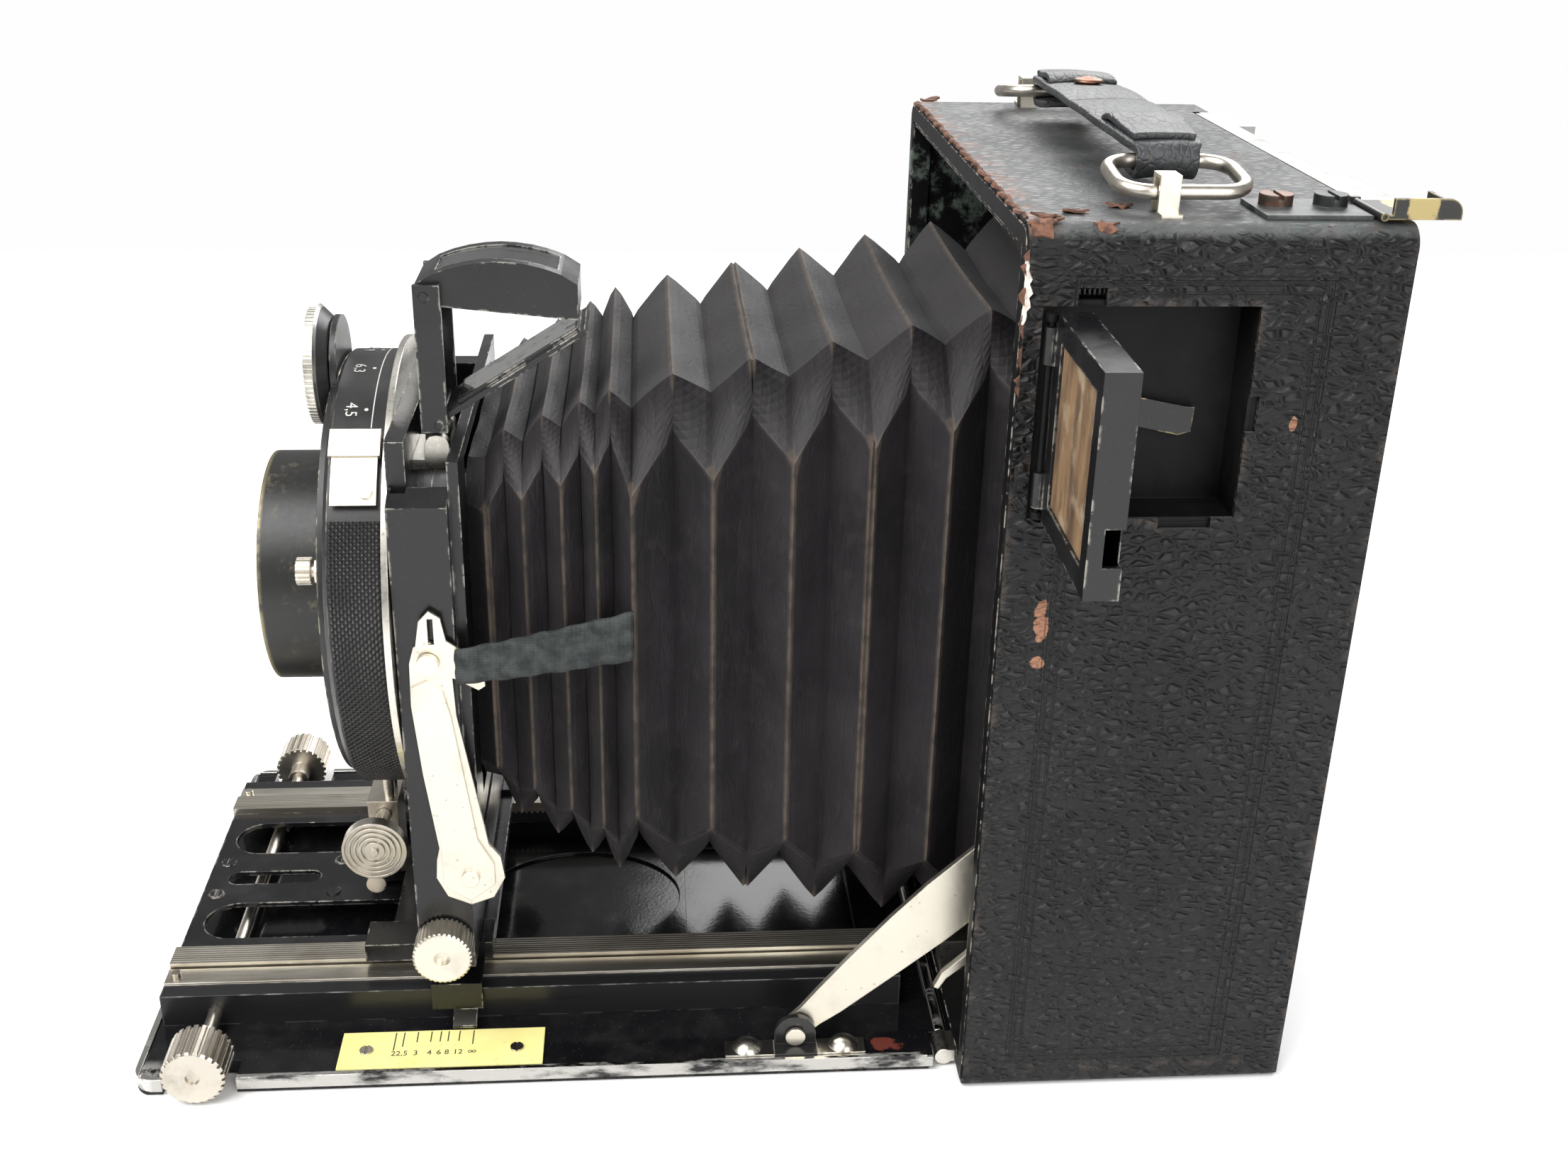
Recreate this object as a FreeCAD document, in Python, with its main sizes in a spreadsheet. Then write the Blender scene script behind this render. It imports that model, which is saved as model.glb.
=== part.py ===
import FreeCAD, Part
import os, re, math

# Folding plate camera on a drop bed, 9 x 12 cm format.
# Frame: millimetres, +Z up, lens looks along -Y, the viewer's side of the
# body (the one with the hatch) is +X.  Origin: mouth of the tripod bush in
# the middle of the body's base.

V = FreeCAD.Vector
doc = FreeCAD.newDocument("plate_camera")
sheet = doc.addObject("Spreadsheet::Sheet", "dims")

DIM = {
    # body
    "body_w": 62.3, "body_d": 31.0, "body_top": 165.0, "leather": 0.8, "wall": 3.2,
    "corner_r": 3.0, "floor_top": 4.0, "roof_in": 161.0,
    "part_y0": 17.0, "part_y1": 19.0, "gate_x": 43.0, "gate_z0": 22.0, "gate_z1": 141.0,
    "bush_r": 3.97, "bush_barrel": 7.0, "bush_len": 8.0, "side_bush_z": 82.5,
    # hatch
    "hatch_y0": -26.0, "hatch_y1": 7.0, "hatch_z0": 116.8, "hatch_z1": 152.4,
    "hatch_floor": 53.0, "hatch_sheet": 0.8, "door_w": 32.2, "door_t": 5.4, "door_gap": 0.5,
    "door_axis_x": 63.0, "door_axis_y": -26.2, "door_open": 91.0,
    # focusing back
    "back_y0": 27.3, "back_y1": 34.8, "back_half": 46.5, "back_z0": 6.0, "glass_half": 43.5,
    # bed
    "bed_w": 56.9, "bed_front": -186.4, "bed_z0": 0.8, "bed_z1": 3.0,
    "hinge_y": -33.2, "hinge_z": 1.9, "hinge_rod_r": 1.0, "barrel_r": 1.75,
    "guide_x0": 32.0, "guide_x1": 40.4, "guide_z1": 9.9, "strip_t": 0.4, "strip_x1": 36.75,
    # focus drive
    "rail_x0": 26.15, "rail_x1": 31.7, "rail_z0": 9.0, "rail_z1": 11.35, "rail_front": -184.5, "rail_back": -40.0,
    "plate_z1": 10.0, "plate_back": -128.0,
    "pin_y": -174.15, "pin_z": 6.2, "pin_r": 2.0, "teeth": 10.0, "shaft_r": 1.3,
    "knob_r": 5.9, "knob_x0": 51.8, "knob_x1": 60.2,
    # struts
    "piv_y": -62.0, "piv_z": 6.0, "strut_x": 49.8, "strut_t": 1.2, "strut_len": 59.4, "strut_a": 45.0,
    "slot_y": -20.0, "slot_half": 2.4,
    # standard
    "shoe_front": -146.0, "shoe_back": -121.0, "shoe_z0": 11.65, "shoe_z1": 15.5,
    "post_y0": -133.9, "post_y1": -123.4, "post_x0": 36.6, "post_x1": 42.0, "post_top": 113.5, "frame_z0": 16.2,
    "shift_y": -128.9, "shift_z": 22.5, "shift_r": 1.5, "shift_knob_r": 5.6,
    # lens group
    "axis_z": 83.5, "bellows_z": 82.0, "drum_r": 42.3, "drum_y0": -146.0, "drum_y1": -135.4, "ring_r": 43.0,
    "hood_r": 22.5, "hood_front": -161.5, "dial_z": 124.4, "dial_r": 11.2,
    # finder
    "find_x0": 12.0, "find_x1": 30.0, "find_y0": -128.4, "find_y1": -100.6,
    "find_hy": -126.2, "find_hz": 117.6,
    # handle
    "ring_hx": 53.3, "ring_hz": 168.3, "ring_y": -4.0, "ring_tilt": 8.0, "wire_r": 1.2,
}
for i, (k, v) in enumerate(DIM.items(), start=1):
    sheet.set("A%d" % i, k)
    sheet.set("B%d" % i, str(v))
    sheet.setAlias("B%d" % i, k)
doc.recompute()


def E(s):
    return re.sub(r"[A-Za-z_][A-Za-z_0-9]*",
                  lambda m: "dims." + m.group(0) if m.group(0) in DIM else m.group(0), str(s))


def N(s):
    """Value of one alias or a plain number."""
    s = str(s).strip()
    neg = s.startswith("-") and s[1:] in DIM
    if neg:
        return -float(sheet.get(s[1:]))
    if s in DIM:
        return float(sheet.get(s))
    return float(s)


NODES = []


def node(label, obj):
    obj.Label = label
    NODES.append((label, obj))
    return obj


_n = [0]


def nm(p):
    _n[0] += 1
    return "%s_%d" % (p, _n[0])


def place(o, x, y, z, rot=None):
    o.Placement = FreeCAD.Placement(V(0, 0, 0), rot or FreeCAD.Rotation())
    o.setExpression("Placement.Base.x", E(x))
    o.setExpression("Placement.Base.y", E(y))
    o.setExpression("Placement.Base.z", E(z))


def box(x0, x1, y0, y1, z0, z1):
    o = doc.addObject("Part::Box", nm("blk"))
    o.setExpression("Length", E("(%s)-(%s)" % (x1, x0)))
    o.setExpression("Width", E("(%s)-(%s)" % (y1, y0)))
    o.setExpression("Height", E("(%s)-(%s)" % (z1, z0)))
    place(o, x0, y0, z0)
    return o


ROT = {"x": FreeCAD.Rotation(V(0, 1, 0), 90), "y": FreeCAD.Rotation(V(1, 0, 0), -90),
       "z": FreeCAD.Rotation(), "-x": FreeCAD.Rotation(V(0, 1, 0), -90), "-y": FreeCAD.Rotation(V(1, 0, 0), 90)}


def cyl(r, L, x, y, z, d="z"):
    """Cylinder of radius r, length L, from (x, y, z) along d."""
    o = doc.addObject("Part::Cylinder", nm("rod"))
    o.setExpression("Radius", E(r))
    o.setExpression("Height", E(L))
    place(o, x, y, z, ROT[d])
    return o


def cone(r1, r2, L, x, y, z, d="z"):
    o = doc.addObject("Part::Cone", nm("con"))
    o.setExpression("Radius1", E(r1))
    o.setExpression("Radius2", E(r2))
    o.setExpression("Height", E(L))
    place(o, x, y, z, ROT[d])
    return o


def fuse(*obs):
    o = doc.addObject("Part::MultiFuse", nm("fus"))
    o.Shapes = list(obs)
    return o


def cut(a, *tools):
    t = tools[0] if len(tools) == 1 else fuse(*tools)
    o = doc.addObject("Part::Cut", nm("cut"))
    o.Base = a
    o.Tool = t
    return o


def common(a, b):
    o = doc.addObject("Part::Common", nm("com"))
    o.Base = a
    o.Tool = b
    return o


def group(*obs):
    o = doc.addObject("Part::Compound", nm("grp"))
    o.Links = list(obs)
    return o


def feat(shape):
    o = doc.addObject("Part::Feature", nm("ft"))
    o.Shape = shape
    return o


def body(label):
    b = doc.addObject("PartDesign::Body", nm("bd"))
    return b


def plane(b, role):
    return [f for f in b.Origin.OriginFeatures if f.Role == role][0]


def sketch(b, role, pts, circles=()):
    """Closed outline through pts (straight lines) and full circles (x, y, r)."""
    s = b.newObject("Sketcher::SketchObject", nm("sk"))
    s.AttachmentSupport = [(plane(b, role), "")]
    s.MapMode = "FlatFace"
    n = len(pts)
    if n:
        import Sketcher
        g = []
        for i in range(n):
            a, c = pts[i], pts[(i + 1) % n]
            g.append(Part.LineSegment(V(a[0], a[1], 0), V(c[0], c[1], 0)))
        s.addGeometry(g, False)
        con = [Sketcher.Constraint("Coincident", i, 2, (i + 1) % n, 1) for i in range(n)]
        s.addConstraint(con)
    for (x, y, r) in circles:
        s.addGeometry(Part.Circle(V(x, y, 0), V(0, 0, 1), r), False)
    return s


def turned(pts, place_at, rot=None):
    """Body of revolution: pts are (radius, height) about the local Y axis."""
    b = body("t")
    s = sketch(b, "XY_Plane", pts)
    r = b.newObject("PartDesign::Revolution", nm("rev"))
    r.Profile = s
    r.ReferenceAxis = (s, ["V_Axis"])
    r.Angle = 360.0
    b.Tip = r
    place(b, place_at[0], place_at[1], place_at[2], rot)
    return b


def padded(role, pts, length, place_at=(0, 0, 0), circles=(), rot=None, both=False, rev=False):
    b = body("p")
    s = sketch(b, role, pts, circles)
    p = b.newObject("PartDesign::Pad", nm("pad"))
    p.Profile = s
    p.setExpression("Length", E(length))
    p.Midplane = both
    p.Reversed = rev
    b.Tip = p
    place(b, place_at[0], place_at[1], place_at[2], rot)
    return b


def mirror_x(o):
    m = doc.addObject("Part::Mirroring", nm("mir"))
    m.Source = o
    m.Base = V(0, 0, 0)
    m.Normal = V(1, 0, 0)
    return m


def round_long(o, radius, axis, low=None):
    """Fillet every straight edge of o that runs along one axis; low is the radius at the bottom."""
    doc.recompute()
    ed = []
    for i, e in enumerate(o.Shape.Edges, start=1):
        if e.Curve.TypeId != "Part::GeomLine":
            continue
        d = e.Vertexes[-1].Point.sub(e.Vertexes[0].Point)
        if d.Length > 1e-6 and abs(abs(d.normalize().dot(axis)) - 1) < 1e-6:
            q = low if low and e.Vertexes[0].Point.z < 20 else radius
            ed.append((i, q, q))
    f = doc.addObject("Part::Fillet", nm("fil"))
    f.Base = o
    f.Edges = ed
    return f


YA = V(0, 1, 0)

# ---------------------------------------------------------------- camera body
outer = round_long(box("-body_w+leather", "body_w-leather", "-body_d", "body_d", "leather", "body_top-leather"), 3.0, YA, 0.9)
cavity = box("-(body_w-leather-wall)", "body_w-leather-wall", "-body_d-1", "body_d+1", "floor_top", "roof_in")
hatch_hole = box("hatch_floor-hatch_sheet", "body_w+1", "hatch_y0-hatch_sheet", "hatch_y1+hatch_sheet",
                 "hatch_z0-hatch_sheet", "hatch_z1+hatch_sheet")
base_hole = cyl("bush_barrel", 12, 0, 0, -2)
side_hole = cyl("bush_barrel", 12, "-body_w-1", 0, "side_bush_z", "x")
roof_gap = box("-(back_half+2)", "back_half+2", "back_y0-0.3", "body_d+2", "roof_in-2", "body_top+2")
coil_hole = box("body_w-leather-wall", "body_w+1", -22.7, -17.3, 153.25, 155.8)
node("body_shell", cut(outer, cavity, hatch_hole, coil_hole, base_hole, side_hole, roof_gap))

skin_out = round_long(box("-body_w", "body_w", "-body_d+0.3", "body_d-0.3", 0, "body_top"), 3.8, YA, 1.7)
skin_in = round_long(box("-body_w+leather", "body_w-leather", "-body_d-1", "body_d+1", "leather", "body_top-leather"), 3.0, YA, 0.9)
skin = cut(skin_out, skin_in)
skin_holes = fuse(box("body_w-leather-1", "body_w+1", "hatch_y0", "hatch_y1", "hatch_z0", "hatch_z1"),
                  cyl("bush_barrel", 12, 0, 0, -2), cyl("bush_barrel", 12, "-body_w-1", 0, "side_bush_z", "x"),
                  box("body_w-leather", "body_w+1", "door_axis_y-1.5", "hatch_y0+0.1", "hatch_z0", "hatch_z1"),
                  box("body_w-leather", "body_w+1", -22.3, -17.8, "hatch_z1-0.1", 155.3), box("body_w-leather", "body_w+1", "hatch_y1-0.1", "hatch_y1+1.6", 131.6, 137.6),
                  box("body_w-leather", "body_w+1", -5.6, 3.2, 114.9, "hatch_z0+0.1"),
                  box("-(back_half+2)", "back_half+2", "back_y0-0.3", "body_d+2", "roof_in-2", "body_top+2"))
skin_h = cut(skin, skin_holes)
node("leather_top_cover", common(skin_h, box(-70, 70, -40, 40, "body_top-4", 170)))
node("leather_near_cover", common(skin_h, box(10, 70, -40, 40, 4, "body_top-4")))
node("leather_far_cover", common(skin_h, box(-70, -10, -40, 40, 4, "body_top-4")))
node("leather_base_cover", common(skin_h, box(-70, 70, -40, 40, -1, 4)))

# sheet-metal lining just inside the front opening, open at the bottom
node("front_opening_trim", cut(box("-(body_w-leather-wall)", "body_w-leather-wall", "-body_d+0.2", "-body_d+4.0", "floor_top+14", "roof_in"),
                               box("-(body_w-leather-wall-0.7)", "body_w-leather-wall-0.7", -40, -20, 0, "roof_in-0.7")))

# plate gate wall and the frame that holds the bellows' rear end
node("rear_partition", cut(box("-(body_w-leather-wall)", "body_w-leather-wall", "part_y0", "part_y1", "floor_top", "roof_in"),
                           box("-gate_x", "gate_x", 10, 30, "gate_z0", "gate_z1")))
node("bellows_rear_frame", cut(box(-45, 45, "part_y0-1.6", "part_y0", 18.6, 144.4), box(-41, 41, 10, 30, 22.6, 140.4)))

bush = cut(cyl("bush_barrel-0.02", "bush_len", 0, 0, 0), cyl("bush_r", 20, 0, 0, -5))
bush2 = cut(cyl("bush_barrel-0.02", "bush_len", "-body_w", 0, "side_bush_z", "x"),
            cyl("bush_r", 20, "-body_w-5", 0, "side_bush_z", "x"))
node("tripod_bushes", group(bush, bush2))

# hatch: sheet liner let into the side wall, leaf spring arm, hinge pin
node("hatch_liner", cut(box("hatch_floor-hatch_sheet", "body_w-leather", "hatch_y0-hatch_sheet", "hatch_y1+hatch_sheet",
                            "hatch_z0-hatch_sheet", "hatch_z1+hatch_sheet"),
                        box("hatch_floor", "body_w+1", "hatch_y0", "hatch_y1", "hatch_z0", "hatch_z1")))
arm_pts = [(-24.5, 132.0), (-18.0, 131.4), (-9.0, 130.2), (-1.5, 128.6), (0.6, 129.2), (0.8, 133.4), (-1.2, 133.6),
           (-9.0, 135.2), (-17.0, 137.8), (-19.0, 141.5), (-24.5, 142.4)]
node("hatch_spring_arm", padded("YZ_Plane", arm_pts, 1.0, ("hatch_floor+0.6", 0, 0)))
node("hatch_catch_spring", feat(Part.makeCompound([Part.makeTorus(0.85, 0.3, V(60.2, -22.0 + 0.8 * i, 154.55), V(0, 1, 0)) for i in range(6)])))

# hinge ears on the body's front edge and the rod through the bed's barrel
ears = []
for sx in (1, -1):
    x0, x1 = (49.7, 55.6) if sx > 0 else (-55.6, -49.7)
    e = fuse(cyl("barrel_r", 5.9, x0, "hinge_y", "hinge_z", "x"),
             box(x0, x1, "hinge_y", "-body_d", 0.8, 3.4))
    ears.append(cut(e, cyl("hinge_rod_r+0.02", 20, x0 - 5, "hinge_y", "hinge_z", "x")))
node("bed_hinge_ears", group(*ears))
node("bed_hinge_rod", cyl("hinge_rod_r", 111.2, -55.6, "hinge_y", "hinge_z", "x"))

# slotted plates that the upper ends of the struts slide in
sp = cut(box(56.2, 58.2, -25.4, -12.5, 38, 104),
         fuse(box(50, 60, "slot_y-slot_half", "slot_y+slot_half", 46.6, 96),
              cyl("slot_half", 10, 50, "slot_y", 46.6, "x"), cyl("slot_half", 10, 50, "slot_y", 96, "x")))
node("strut_slot_plates", group(sp, mirror_x(sp)))

# rails inside the body that carry the standard when it is run back
br = box("rail_x0", "rail_x1", "-body_d+0.6", 15, "floor_top", "rail_z1")
node("body_rails", group(br, mirror_x(br)))

# handle lugs: bent strip over each ring, standing on the top
L1 = fuse(box("ring_hx-2.1", "ring_hx-1.5", "ring_y-5.3", "ring_y-1.9", "body_top", "body_top+6.2"),
          box("ring_hx+1.5", "ring_hx+2.1", "ring_y-5.3", "ring_y-1.9", "body_top", "body_top+6.2"),
          box("ring_hx-2.1", "ring_hx+2.1", "ring_y-5.3", "ring_y-1.9", "body_top+5.6", "body_top+6.2"),
          box("ring_hx+1.5", "ring_hx+4.6", "ring_y-5.3", "ring_y-1.9", "body_top", "body_top+0.6"))
node("handle_lugs", group(L1, mirror_x(L1)))

# latch: fixed plate held by two cheese-head screws
scr = []
for y in (11.1, 20.1):
    scr.append(cut(cyl(2.7, 1.9, 50.6, y, "body_top+0.8"), box(47, 54, y - 0.4, y + 0.4, "body_top+1.9", "body_top+4")))
node("latch_screws", group(*scr))
node("latch_plate", box(45.4, 58.4, 7.2, 24.3, "body_top", "body_top+0.8"))

# focusing back: fixed side rails and bottom stop, sliding frame, glass
def back_rail():
    r = cut(box("back_half+0.3", "body_w-leather-wall", "part_y1+5", "body_d+1.2", "floor_top", "roof_in"),
            box("back_half-2", "back_half+1.8", 28.2, 31.0, "floor_top+2", "body_top+2"))
    return r


rl = back_rail()
rr = mirror_x(back_rail())
stop = box("-back_half", "back_half", "back_y0", "back_y1-2", "floor_top", "back_z0-0.3")
node("back_rails", group(rl, rr, stop))
bf = fuse(box("-back_half", "back_half", "back_y0", "back_y1", "back_z0", "body_top"),
          box("-back_half-1.5", "back_half+1.5", 28.5, 30.7, "back_z0", "body_top"))
node("focusing_back_frame", cut(bf, box(-42, 42, 20, 40, 24, 140), box("-glass_half-0.05", "glass_half+0.05", 27.5, 29.6, 22.45, 141.55),
                                box(-30, 22, 31.4, 40, 159.5, 170)))
node("ground_glass", box("-glass_half", "glass_half", 27.5, 29.5, 22.5, 141.5))
clips = [box(x - 2.5, x + 2.5, 29.7, 30.2, z, z + 3.5) for x, z in ((-30, 137.5), (30, 137.5), (-30, 22.9), (30, 22.9))]
node("ground_glass_clips", group(*clips))

# latch leaf: springy finger tab that reaches over the back, edges turned up
lt = fuse(box(48.8, 60.6, 25.2, 37.4, "body_top+0.65", "body_top+1.35"),
          box(59.9, 60.6, 26.4, 37.4, "body_top+0.65", "body_top+3.9"),
          box(48.8, 60.6, 36.7, 37.4, "body_top+0.65", "body_top+2.8"),
          cyl(0.65, 11.8, 48.8, 25.15, "body_top+1", "x"))
lt = cut(lt, cut(box(50, 61, 35.2, 38, "body_top+1.6", "body_top+5"), cyl(2.3, 16, 47, 35.1, "body_top+1.6", "x")))
node("back_latch", cut(lt, cyl(0.36, 14, 48, 25.15, "body_top+1", "x")))
node("latch_pin", fuse(box(47.4, 48.5, 24.35, 25.9, "body_top+0.02", "body_top+1.7"), cyl(0.3, 12.6, 47.8, 25.15, "body_top+1", "x")))

# ---------------------------------------------------------------- hatch door
# Drawn closed, then turned about its front edge to the open position.
door_rot = FreeCAD.Rotation(V(0, 0, 1), -N("door_open"))


def hang(o):
    """Put a part drawn closed, relative to the hinge axis, at the open angle."""
    o.Placement = FreeCAD.Placement(V(0, 0, 0), door_rot)
    o.setExpression("Placement.Base.x", E("door_axis_x"))
    o.setExpression("Placement.Base.y", E("door_axis_y"))
    return o


def dbox(x0, x1, y0, y1, z0, z1):
    """Box given relative to the hinge axis (x, y) and absolute in z, kept closed."""
    o = doc.addObject("Part::Box", nm("blk"))
    o.setExpression("Length", E("(%s)-(%s)" % (x1, x0)))
    o.setExpression("Width", E("(%s)-(%s)" % (y1, y0)))
    o.setExpression("Height", E("(%s)-(%s)" % (z1, z0)))
    place(o, x0, y0, z0)
    return o


tray = cut(dbox("-0.6-door_t", -0.6, 0.6, "door_w", "hatch_z0+door_gap", "hatch_z1-door_gap"),
           dbox("-0.4-door_t", -2.3, 1.5, "door_w-0.9", "hatch_z0+door_gap+0.9", "hatch_z1-door_gap-0.9"),
           dbox(-1.4, 0.5, 4.6, "door_w-3.6", "hatch_z0+4.4", "hatch_z1-4.4"),
           dbox("-1-door_t", -3.0, "door_w-2", "door_w+1", 122.5, 128.5))
knuckle = cut(fuse(*[cyl(1.1, 6, 0, 0, z, "z") for z in (119.4, 143.4)],
                   *[dbox(-1.3, 0.0, 0.0, 1.2, z, z + 6) for z in (119.4, 143.4)]),
              cyl(0.55, 60, 0, 0, 110, "z"))
relief = fuse(cyl(1.4, 3.3, 0, 0, 115.8, "z"), cyl(1.4, 3.4, 0, 0, 149.9, "z"))
node("hatch_door_tray", hang(cut(fuse(cut(tray, relief), knuckle), cyl(0.55, 60, 0, 0, 110, "z"))))
node("hatch_door_panel", hang(group(dbox(-1.4, -1.1, 4.7, "door_w-3.7", "hatch_z0+4.5", "hatch_z1-4.5"))))
hp = fuse(cyl(0.5, 34.0, "door_axis_x", "door_axis_y", 117.4, "z"),
          cyl(0.95, 1.2, "door_axis_x", "door_axis_y", 117.4, "z"), cyl(0.95, 1.2, "door_axis_x", "door_axis_y", 150.3, "z"),
          box("body_w-leather", "door_axis_x", "door_axis_y-0.95", "door_axis_y", 117.4, 118.6),
          box("body_w-leather", "door_axis_x", "door_axis_y-0.95", "door_axis_y", 150.3, 151.5))
node("hatch_hinge_pin", hp)

# ---------------------------------------------------------------- handle
def ring_shape(sgn):
    """Wire ring with rounded corners, long axis along Y, outer bar on the local Y axis."""
    r = N("wire_r")
    a, b, q = 7.6, 10.4, 5.0
    pts = []
    for cx, cy, t0 in ((a - q, b - q, 0), (-a + q, b - q, 90), (-a + q, -b + q, 180), (a - q, -b + q, 270)):
        t = [math.radians(t0 + d) for d in (0, 45, 90)]
        pts.append([V(cx - sgn * a + q * math.cos(u), cy + q * math.sin(u), 0) for u in t])
    ed = []
    for i in range(4):
        ed.append(Part.Arc(pts[i][0], pts[i][1], pts[i][2]).toShape())
        ed.append(Part.makeLine(pts[i][2], pts[(i + 1) % 4][0]))
    w = Part.Wire(ed)
    c = Part.Wire([Part.Circle(pts[0][0], V(0, 1, 0), r).toShape()])
    sh = w.makePipeShell([c], True, False)
    return sh


for sgn, lab in ((1, "handle_ring_near"), (-1, "handle_ring_far")):
    o = feat(ring_shape(sgn))
    rot = FreeCAD.Rotation(V(0, 1, 0), sgn * N("ring_tilt"))
    o.Placement = FreeCAD.Placement(V(sgn * N("ring_hx"), N("ring_y"), N("ring_hz")), rot)
    node(lab, o)

# strap: one sprung band between the rings, turned back round each of them
def strap():
    w = 12.2
    c = math.cos(math.radians(N("ring_tilt")))
    sn = math.sin(math.radians(N("ring_tilt")))
    # centre of the ring's inner bar
    bx = N("ring_hx") - 15.2 * c
    bz = N("ring_hz") + 15.2 * sn
    gap = 1.55
    th = 1.3
    pts_out, pts_in = [], []
    n = 14
    top = []
    ro, ri = gap + th, gap
    arc_o = [V(bx + ro * math.cos(t), 0, bz + ro * math.sin(t)) for t in [math.radians(90 - 180.0 * i / n) for i in range(n + 1)]]
    arc_i = [V(bx + ri * math.cos(t), 0, bz + ri * math.sin(t)) for t in [math.radians(90 - 180.0 * i / n) for i in range(n + 1)]]
    mid_z = 173.5
    up_o = [V(bx - 6, 0, bz + ro + 0.5), V(12, 0, mid_z + 1.4), V(-12, 0, mid_z + 1.4)]
    out = []
    # half outline, near side, from the middle of the top round the loop to the tail
    half = [V(12, 0, mid_z + 1.4), V(bx - 6, 0, bz + ro + 0.2)] + arc_o + [V(bx - 9, 0, bz - ro + 0.3), V(bx - 9, 0, bz - ri + 0.3)] + \
        list(reversed(arc_i)) + [V(bx - 6, 0, bz + ri + 0.0), V(12, 0, mid_z - 0.2)]
    # remove the wedge between layers: tail runs under the band
    h2 = [V(-p.x, 0, p.z) for p in reversed(half)]
    poly = half + h2
    f = Part.Face(Part.makePolygon(poly + [poly[0]]))
    s = f.extrude(V(0, w, 0))
    s.translate(V(0, N("ring_y") - w / 2.0, 0))
    return s


node("handle_strap", feat(strap()))

# ---------------------------------------------------------------- bed
bed = box("-bed_w", "bed_w", "bed_front", "hinge_y-0.5", "bed_z0", "bed_z1")
rim = cut(box("-bed_w", "bed_w", "bed_front", "hinge_y-3.5", "bed_z1", "bed_z1+0.5"),
          box("-bed_w+1.1", "bed_w-1.1", "bed_front+1.1", 0, 0, 10))
brl = cyl("barrel_r", 99.0, -49.5, "hinge_y", "hinge_z", "x")
oval = feat(Part.Face(Part.Wire([Part.Ellipse(V(0, -104.8, 2.4), 21.5, 17.6).toShape()])).extrude(V(0, 0, 5)))
oval.Placement = FreeCAD.Placement(V(0, 0, 0), FreeCAD.Rotation(V(0, 0, 1), 90), V(0, -104.8, 0))
well = box(-18, 18, -82, -46, "bed_z1-0.5", 10)
notch = [box(51.2, 70, "pin_y-6.8", "pin_y+6.8", -1, 10), box(-70, -51.2, "pin_y-6.8", "pin_y+6.8", -1, 10)]
corner = [cut(box("bed_w-4", "bed_w+1", "bed_front-1", "bed_front+4", -1, 10), cyl(4, 12, "bed_w-4", "bed_front+4", -1)),
          cut(box("-bed_w-1", "-bed_w+4", "bed_front-1", "bed_front+4", -1, 10), cyl(4, 12, "-bed_w+4", "bed_front+4", -1))]
ear_gap = [box(49.5, 60, "hinge_y-2.3", -25, -5, 10), box(-60, -49.5, "hinge_y-2.3", -25, -5, 10)]
node("bed_plate", cut(fuse(bed, rim, brl), oval, well, cyl("hinge_rod_r+0.04", 120, -60, "hinge_y", "hinge_z", "x"), *(notch + corner + ear_gap)))
node("bed_leather", cut(box("-bed_w+0.3", "bed_w-0.3", "bed_front+0.3", "hinge_y-3", 0, "bed_z0"), *(notch + corner)))

g = cut(fuse(box("guide_x0", "guide_x1", "rail_front", -40, "bed_z1", "guide_z1"),
             box(31.0, "guide_x0", "rail_front", -40, "bed_z1", "rail_z0-0.3")),
        cyl("shaft_r+0.04", 20, 28, "pin_y", "pin_z", "x"))
node("bed_guides", group(g, mirror_x(g)))
gs = box("guide_x0+0.1", "strip_x1", "rail_front", -40, "guide_z1", "guide_z1+strip_t")
node("guide_strips", group(gs, mirror_x(gs)))
node("distance_scale", box(45.0, 55.6, -149.1, -110.4, "bed_z1", "bed_z1+0.6"))
ss = []
for x, y, z in ((50.6, -144.1, 3.6), (50.9, -115.5, 3.6)):
    ss.append(cut(cyl(1.25, 0.4, x, y, z), box(x - 2, x + 2, y - 0.18, y + 0.18, z + 0.2, z + 1)))
for sx in (34.4, -34.4):
    ss.append(cyl(0.9, 1.0, sx, -182.6, "guide_z1+strip_t", "z"))
node("bed_screws", group(*ss))

bk = cut(fuse(box(51.4, 55.7, -75.6, -48.6, "bed_z1", "bed_z1+0.9"),
              box(51.4, 52.6, -66, -58, "bed_z1", "piv_z"), cyl(4.0, 1.2, 51.4, "piv_y", "piv_z", "x")),
         cyl(1.04, 10, 48, "piv_y", "piv_z", "x"), box(40, 60, -80, -40, -5, "bed_z1"))
node("strut_brackets", group(bk, mirror_x(bk)))


def dome(x, y):
    return common(fuse_sphere(x, y), box(x - 6, x + 6, y - 6, y + 6, "bed_z1+0.9", 12))


def fuse_sphere(x, y):
    s = doc.addObject("Part::Sphere", nm("sph"))
    s.Radius = 3.4
    place(s, x, y, "bed_z1-0.9")
    return s


node("bracket_rivets", group(*[dome(x, y) for x in (53.0, -53.0) for y in (-71.3, -52.6)]))


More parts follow.
